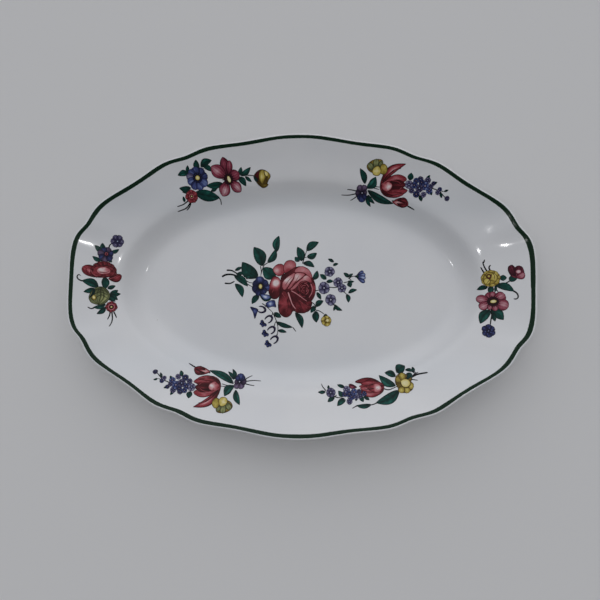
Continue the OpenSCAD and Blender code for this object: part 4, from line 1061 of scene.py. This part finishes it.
# ---- The left spray -----------------------------------------------------------------------------
# A peony with two outer petals, a pansy and a forget-me-not above it, and below it a globe bud in
# olive and a small red daisy on three stems.
left = slide_to("left_globe_bud", (-145.7, -11.1))

twigs = Drawing([ink], FIRST_COAT, slide=left)
for way in ([(-138.8, -22), (-139.2, -25), (-140.4, -28.2)], [(-136.6, -22), (-135.4, -24), (-134, -26.8)],
            [(-137.8, -22), (-137, -27), (-137.4, -30.6), (-138.8, -33.4)],
            [(-141.8, 24), (-141.2, 27.6), (-139.4, 29.4)], [(-146.6, 14.4), (-146, 17)],
            [(-158.6, -0.2), (-161.4, 1), (-162.6, 2.8), (-161.8, 4.6), (-160.2, 4)],
            [(-149.6, -19.2), (-152, -20.4), (-154.8, -19.2)], [(-139, -12), (-141.6, -11)]):
    twigs.line(way, 1.1, 0.7)
twigs.laid("left_stems", "stem_ink")

leaves([
    ((-144.6, 23), (-146.2, 29.4), 4, 0.1), ((-147.4, 21.6), (-151.6, 27.4), 3.6, -0.08),
    ((-140.6, 22.6), (-134.4, 25.2), 3, -0.1), ((-146.4, 16), (-153, 19), 3.4, 0.1),
    ((-143, 18.6), (-139.4, 15), 3.2), ((-144, 4), (-143.6, -5.6), 5.6, 0.04),
    ((-148, -4), (-159.4, 0.4), 6.2, -0.1), ((-151, -5), (-158, -8), 3.8, 0.08),
    ((-142, -4.8), (-136.4, -2.4), 3.2), ((-140, -8.6), (-134.4, -5.6), 3.2),
    ((-140, -9), (-132.6, -8.4), 3.6), ((-140, -9.4), (-134.2, -13), 3.6),
    ((-141.6, -11.8), (-135.8, -14.4), 3.4, 0.1), ((-142.4, -16.6), (-151, -19.4), 3.6, 0.1),
    ((-142.2, -18.8), (-148.2, -24.2), 3.8, 0.1)], left).laid("left_leaves", "leaf_green")

forget_me_not = Drawing([lilac, cobalt], slide=left)
blossom(forget_me_not, (-135.5, 31), 5, 6, 0.34, 0.24, 1, 60, 0.9, 0.14)
for angle in range(60, 420, 60):
    forget_me_not.dot(around((-135.5, 31), angle, 2.9), 0.7, 0.5, 0.2, rim=0.6)
forget_me_not.laid("left_forget_me_not", "blue_enamel")

pansy = Drawing([violet, cobalt, crimson], slide=left)
whorl(pansy, (-143.6, 20.8), 0.22, (
    (20, 5.4, 5, 0.20, 1), (70, 5.8, 5, 0.30, 0), (118, 5.6, 5, 0.26, 1), (165, 6.2, 5.4, 0.36, 0),
    (215, 5.8, 5, 0.28, 1), (262, 5.8, 5.4, 0.34, 0), (312, 5.8, 5.2, 0.22, 1)))
pansy.dot((-143.4, 21.2), 1.9, 0.05, 0.0)
pansy.hoop((-143.3, 21.2), 0.9, 0.5, 0.55, 2)
pansy.laid("left_pansy", "violet_enamel")

peony = Drawing([crimson, yellow], slide=left)
peony.petal((-149.4, 3.4), (-159.4, 10.8), 8.4, 0.36, 0.26, bend=-0.06, widest=0.6)
peony.petal((-149.4, 3), (-157, 9.6), 4.6, 0.46, 0.3, bend=-0.06)
peony.petal((-141.6, 2.6), (-132.6, 5.6), 6.0, 0.30, 0.24, bend=-0.12, widest=0.58)
peony.line([(-141.4, 2.2), (-138, 3.8), (-135, 5.4)], 0.6, 0.4, 0.72)
for angle in range(-6, 210, 24):
    peony.petal(around((-145, 7), angle, 2, 1.6), around((-145, 8), angle, 9.3, 7.8), 5.6, 0.26,
                0.16, widest=0.68, blunt=0.45, streaks=4)
peony.blob([(-152.8, 7), (-151, 11), (-145, 12.8), (-139.2, 11.6), (-137, 8), (-139, 4.6),
            (-145, 3.2), (-150.8, 3.6)], 0.34, 0.16, (-150, 8), 3, 9)
peony.blob([(-150, 8.6), (-147.6, 11), (-143.6, 11.4), (-140.2, 9.6), (-140.6, 7), (-144.4, 5.8),
            (-148.6, 6.2)], 0.66, 0.34, (-146.4, 9), 3, 4)
for way, tone in (([(-153.6, 8.6), (-152, 5.6), (-148.6, 4)], 0.72),
                  ([(-151.8, 10.4), (-150.6, 7), (-147, 5)], 0.62),
                  ([(-138, 9.6), (-137.8, 7), (-140, 4.8)], 0.56),
                  ([(-148, 7.4), (-144, 7.2), (-141, 8.2)], 0.42),
                  ([(-146, 12.6), (-141, 12.2), (-137.6, 10)], 0.06),
                  ([(-149.6, 3.6), (-145, 4.6), (-140.6, 3.8)], 0.04)):
    peony.line(way, 0.7, 0.4, tone)
peony.laid("left_peony", "crimson_enamel")

globe = Drawing([olive, yellow, leaf_green], slide=left)
globe.blob([(-154.2, -10.6), (-151.6, -5.8), (-146.6, -3.4), (-142, -5.4), (-139.8, -10),
            (-141.6, -15), (-146, -17.4), (-151.6, -16.4), (-153.8, -14)], 0.40, 0.10,
           (-150, -11), 5, 3)
for bend in (-0.42, -0.24, -0.06, 0.12, 0.3):
    globe.petal((-146.2, -3.8), (-147, -17), 3.6, 0.46 + 0.2 * abs(bend), 0.26, bend=bend,
                widest=0.5, streaks=2, glow=(0.6, 0.2))
for way in ([(-151.4, -7.4), (-148.6, -5.6), (-143, -7)], [(-150.6, -9.4), (-146.4, -7.6), (-141.6, -9.6)],
            [(-149, -11.4), (-145.6, -9.8), (-141.8, -12)]):
    globe.line(way, 0.6, 0.4, 0.14)
globe.dot((-150.8, -11.8), 1.6, 0.72, 0.26, 1, oval=1.5, lean=0.3, rim=1.5)
globe.petal((-154, -12.4), (-151, -4.6), 2, 0.3, 0.1, bend=-0.14, paint=2)
globe.laid("left_globe_bud", "olive_enamel")

small_daisy = Drawing([crimson, yellow], slide=left)
blossom(small_daisy, (-138.3, -18.6), 4.3, 8, 0.32, 0.16, 1, 90, 1.2, 0.2)
small_daisy.hoop((-138.3, -18.6), 2.1, 0.7, 0.66)
small_daisy.hoop((-138.3, -18.6), 1.4, 0.4, 0.1)
small_daisy.laid("left_red_daisy", "scarlet_enamel")


# ---- The right spray ----------------------------------------------------------------------------
# A ranunculus with a pink bud beside it, a red anemone below, and a small navy flower at the foot
# of the stem.
right = slide_to("right_red_anemone", (139.5, -9.9))

twigs = Drawing([ink], FIRST_COAT, slide=right)
for way in ([(137.4, 10.6), (134.8, 15), (133.4, 19)], [(135.4, 9.8), (133.6, 12.6), (132.2, 15.2)],
            [(138.8, 12), (137.8, 14.8), (139, 16.6)], [(134, 18), (134.8, 20.6)],
            [(143, 3.2), (148, 2.8), (152.4, 5.2)], [(142, 1.6), (142.6, -1), (144, -3)],
            [(152.6, -1.6), (156, -4), (157, -6.6), (156, -8.2), (154, -8.2)],
            [(139.2, -16), (139.6, -20), (139, -23), (138.4, -27)], [(140, -15), (139.2, -18)]):
    twigs.line(way, 1.2, 0.8)
twigs.laid("right_stems", "stem_ink")

leaves([
    ((145, 7), (149.8, 7), 4.2), ((142.4, 1.8), (154.6, -2.8), 5.4, 0.1),
    ((137.2, 0.4), (130, -1), 3.6, -0.08), ((139.4, 2), (138.6, -5), 4.2),
    ((142.4, 2), (141.8, -3.4), 2), ((138.6, -16), (131.6, -26), 6.8, -0.1),
    ((139.8, -16.4), (147.4, -23.2), 6.8, 0.1), ((140.6, -18), (141.8, -24.4), 3.4)],
    right).laid("right_leaves", "leaf_green")

ranunculus = Drawing([yellow, crimson, leaf_green], slide=right)
for k in range(9):
    ranunculus.petal((139, 6.8), around((139, 6.8), 40 * k + 10, 6.7, 6.2), 5.6,
                     0.44 + 0.08 * (k % 2), 0.26, widest=0.68, blunt=0.45, streaks=4)
ranunculus.blob([(134, 7.6), (136.4, 11), (141, 10.8), (143.6, 7.6), (141.6, 3.4), (137, 2.4),
                 (134, 4.4)], 0.46, 0.32, (141.6, 8.6), 3, 6)
ranunculus.dot((136.6, 4.8), 2.5, 0.62, 0.16, rim=1.2)
ranunculus.dot((137.8, 8.2), 1.9, 0.30, 0.1, 1, rim=1.0)
ranunculus.dot((137.8, 8.4), 1.1, 0.52, 0.2, 0, rim=0.6)
for way in ([(139.6, 11.4), (141.4, 9), (141.4, 6)], [(135, 9.6), (139, 5.6), (143.6, 4.6)],
            [(139.8, 10), (138.8, 6.6), (136, 3)]):
    ranunculus.line(way, 0.6, 0.3, 0.12)
ranunculus.laid("right_ranunculus", "yellow_enamel")

bud = Drawing([claret, leaf_green], slide=right)
bud.blob([(151, 6.8), (153.4, 9), (157, 7.8), (155, 4.6), (152, 4.2)], 0.4, 0.1, paint=1)
bud.blob([(150.6, 11.4), (150.6, 15), (153.2, 16.2), (155.4, 14.4), (159, 15), (160.8, 11.4),
          (160.4, 7.8), (156.6, 6.4), (153, 7.6)], 0.32, 0.14, (158, 9), 3, 5)
bud.petal((155.4, 7.6), (152, 16.2), 4.8, 0.22, 0.12, bend=0.08, widest=0.62, blunt=0.5)
bud.petal((156.6, 9), (157.6, 15.6), 4.6, 0.22, 0.1, widest=0.66, blunt=0.5)
bud.petal((155.4, 7), (161.2, 10), 5, 0.54, 0.24, bend=-0.12, blunt=0.5)
bud.dot((157.2, 11.2), 2.2, 0.70, 0.24, oval=0.8, rim=1.6)
bud.laid("right_pink_bud", "pink_enamel")

anemone = Drawing([claret, ink, yellow], slide=right)
for tip, width, tone, light in (
        ((136.6, -3.4), 5.6, 0.38, 0.20), ((140.4, -2.6), 5, 0.44, 0.24),
        ((129.4, -7.2), 6.4, 0.50, 0.28), ((131.2, -14.6), 6.6, 0.50, 0.30),
        ((148.6, -5), 8, 0.48, 0.28), ((150.8, -13.8), 8.4, 0.48, 0.32),
        ((142.6, -16.8), 4.6, 0.46, 0.24), ((137.6, -16), 3.8, 0.44, 0.26)):
    anemone.petal((140.2, -9.8), tip, width, tone, light, widest=0.66, blunt=0.5, streaks=4,
                  glow=(0.68, 0.1))
for angle in range(0, 360, 20):
    anemone.line([around((140.5, -9.9), angle, 3, 2.6), around((140.5, -9.9), angle, 5.2, 4.6)],
                 0.8, 0.3, 0.04)
anemone.dot((140.5, -9.9), 4, 0.03, 0.0, oval=0.86)
anemone.dot((140.8, -9.9), 2.3, 0.74, 0.26, 2, oval=0.56, lean=0.1, rim=0.5)
anemone.laid("right_red_anemone", "claret_enamel")

navy = Drawing([cobalt, lilac], slide=right)
blossom(navy, (137.2, -31.2), 5.2, 6, 0.22, 0.24, 0, 30, 0.88, 0.1)
for x, y in ((137.8, -29), (135, -31.6), (138.8, -32.2), (136.4, -33.4), (139.4, -30.6)):
    navy.dot((x, y), 0.8, 0.42, 0.2, rim=0.8)
navy.laid("right_blue_flower", "blue_enamel")


# ---- The rim line -------------------------------------------------------------------------------
# A dark green line, drawn on the turning dish with one loaded brush a little inside the lip. It is
# thicker where the brush was pressed.
line_green = enamel_material(
    "line_green_enamel", (0.0, (0.006, 0.052, 0.020)), (0.5, (0.002, 0.026, 0.009)),
    (1.0, (0.001, 0.013, 0.005)))
LINE_INNER, LINE_OUTER = 29.0, 31.7
LINE_SEGMENTS, LINE_COLUMNS = 1080, 6
HAND_SHAKE = 0.05


def lip_way():
    """Points round the lip by its control points, with the shoulder's radius on each bearing."""
    spans = LINE_SEGMENTS // len(lip_points)
    for i in range(len(lip_points)):
        a, b, c, d = (Vector(lip_points[(i + k) % len(lip_points)]) for k in (-1, 0, 1, 2))
        for k in range(spans):
            lip = pulled(a, b, c, d, k / spans)
            cos, sin = lip.normalized()
            yield lip, SHOULDER_LENGTH * SHOULDER_WIDTH / math.hypot(SHOULDER_WIDTH * cos,
                                                                     SHOULDER_LENGTH * sin)


# The brush's pressure swells slowly round the dish and trembles, and a firm press leaves more colour.
rim_line = Drawing([line_green], FIRST_COAT)
rows = [[] for k in range(LINE_COLUMNS + 1)]
shades = [[] for k in range(LINE_COLUMNS + 1)]
for step, (lip, shoulder) in enumerate(lip_way()):
    w = 2 * math.pi * step / LINE_SEGMENTS
    press = 0.16 * math.sin(3 * w + 1) + 0.10 * math.sin(11 * w) + 0.06 * math.sin(37 * w)
    inner = LINE_INNER - press + dice.uniform(-HAND_SHAKE, HAND_SHAKE)
    outer = LINE_OUTER + 0.4 * press + dice.uniform(-HAND_SHAKE, HAND_SHAKE)
    for k in range(LINE_COLUMNS + 1):
        f = k / LINE_COLUMNS
        reach = inner + (outer - inner) * f
        rows[k].append(lip.normalized() * (shoulder + (lip.length - shoulder) * reach / RIM_REACH))
        shades[k].append(0.15 + 0.7 * math.sin(math.pi * f) ** 0.5 + 0.2 * press)
rim_line.skin(rows, shades, 0, loop=True)
rim_line.laid("rim_line", "rim_green")


# ---- Studio -------------------------------------------------------------------------------------
# A plain pale table in a soft even room, and two small lamps high on either side, which put the
# sharp highlights on the shoulder and the flange. The camera looks almost straight down.
def aim(thing, place, target, roll=0.0):
    """Puts a camera or a lamp at a place in mm, looking at a target, with the long side level."""
    place, target = Vector(place) * MM, Vector(target) * MM
    back = (place - target).normalized()
    right = Vector((0, 1, 0)).cross(back).normalized()
    up = back.cross(right)
    turn = Matrix((right, up, back)).transposed().to_4x4()
    thing.matrix_world = Matrix.Translation(place) @ turn @ Matrix.Rotation(roll, 4, "Z")
    bpy.context.scene.collection.objects.link(thing)


TABLE_HALF, TABLE_DROP = 4000, 0.2
table_mesh = bpy.data.meshes.new("table")
table_mesh.from_pydata([(x * TABLE_HALF * MM, y * TABLE_HALF * MM, -TABLE_DROP * MM) for x, y in
                        ((-1, -1), (1, -1), (1, 1), (-1, 1))], [], [(0, 1, 2, 3)])
table = bpy.data.objects.new("table", table_mesh)
bpy.context.scene.collection.objects.link(table)
table_paint, table_wires, table_shader = shader_of("pale_table_paint")
table_wires.feed(table_shader, {"Base Color": (0.72, 0.72, 0.72, 1), "Roughness": 0.7})
table_mesh.materials.append(table_paint)

lip_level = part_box("rim_line")[1].z / MM
CAMERA_ABOVE_LIP = 500.56
CAMERA_ROLL = math.radians(1.279)
camera_data = bpy.data.cameras.new("camera")
camera_data.lens = 42.0
camera_data.sensor_width = 36.0
camera = bpy.data.objects.new("camera", camera_data)
aim(camera, (43.5, -52.96, CAMERA_ABOVE_LIP + lip_level), (3.16, -11.69, lip_level), CAMERA_ROLL)
bpy.context.scene.camera = camera

LAMP_LENGTH, LAMP_WIDTH, LAMP_WATTS = 70, 50, 0.35
for name, place in (("left_highlight", (400, -150, 1750)), ("right_highlight", (-520, -260, 1600))):
    light = bpy.data.lights.new(name, "AREA")
    light.shape = "RECTANGLE"
    light.size = LAMP_LENGTH * MM
    light.size_y = LAMP_WIDTH * MM
    light.energy = LAMP_WATTS
    aim(bpy.data.objects.new(name, light), place, (0, 0, 0))

# The room is one wide soft light: dim all round and brightest beyond the top of the platter.
ROOM_DIM, ROOM_BRIGHT = 0.27, 0.86
BRIGHT_SIDE = (-0.02, 0.78, 0.62)
world = bpy.data.worlds.new("soft_room")
world.use_nodes = True
room = Wires(world.node_tree)
towards = room.add("ShaderNodeVectorMath", {
    0: room.add("ShaderNodeTexCoord", output="Generated"), 1: Vector(BRIGHT_SIDE).normalized()},
    output="Value", operation="DOT_PRODUCT")
glow = room.math("MULTIPLY", room.math("POWER", room.math("MAXIMUM", towards, 0.0), 2), ROOM_BRIGHT)
room.feed(world.node_tree.nodes["Background"], {
    "Color": (0.955, 0.965, 1.0, 1), "Strength": room.math("ADD", glow, ROOM_DIM)})
bpy.context.scene.world = world
bpy.context.scene.view_settings.view_transform = "Standard"
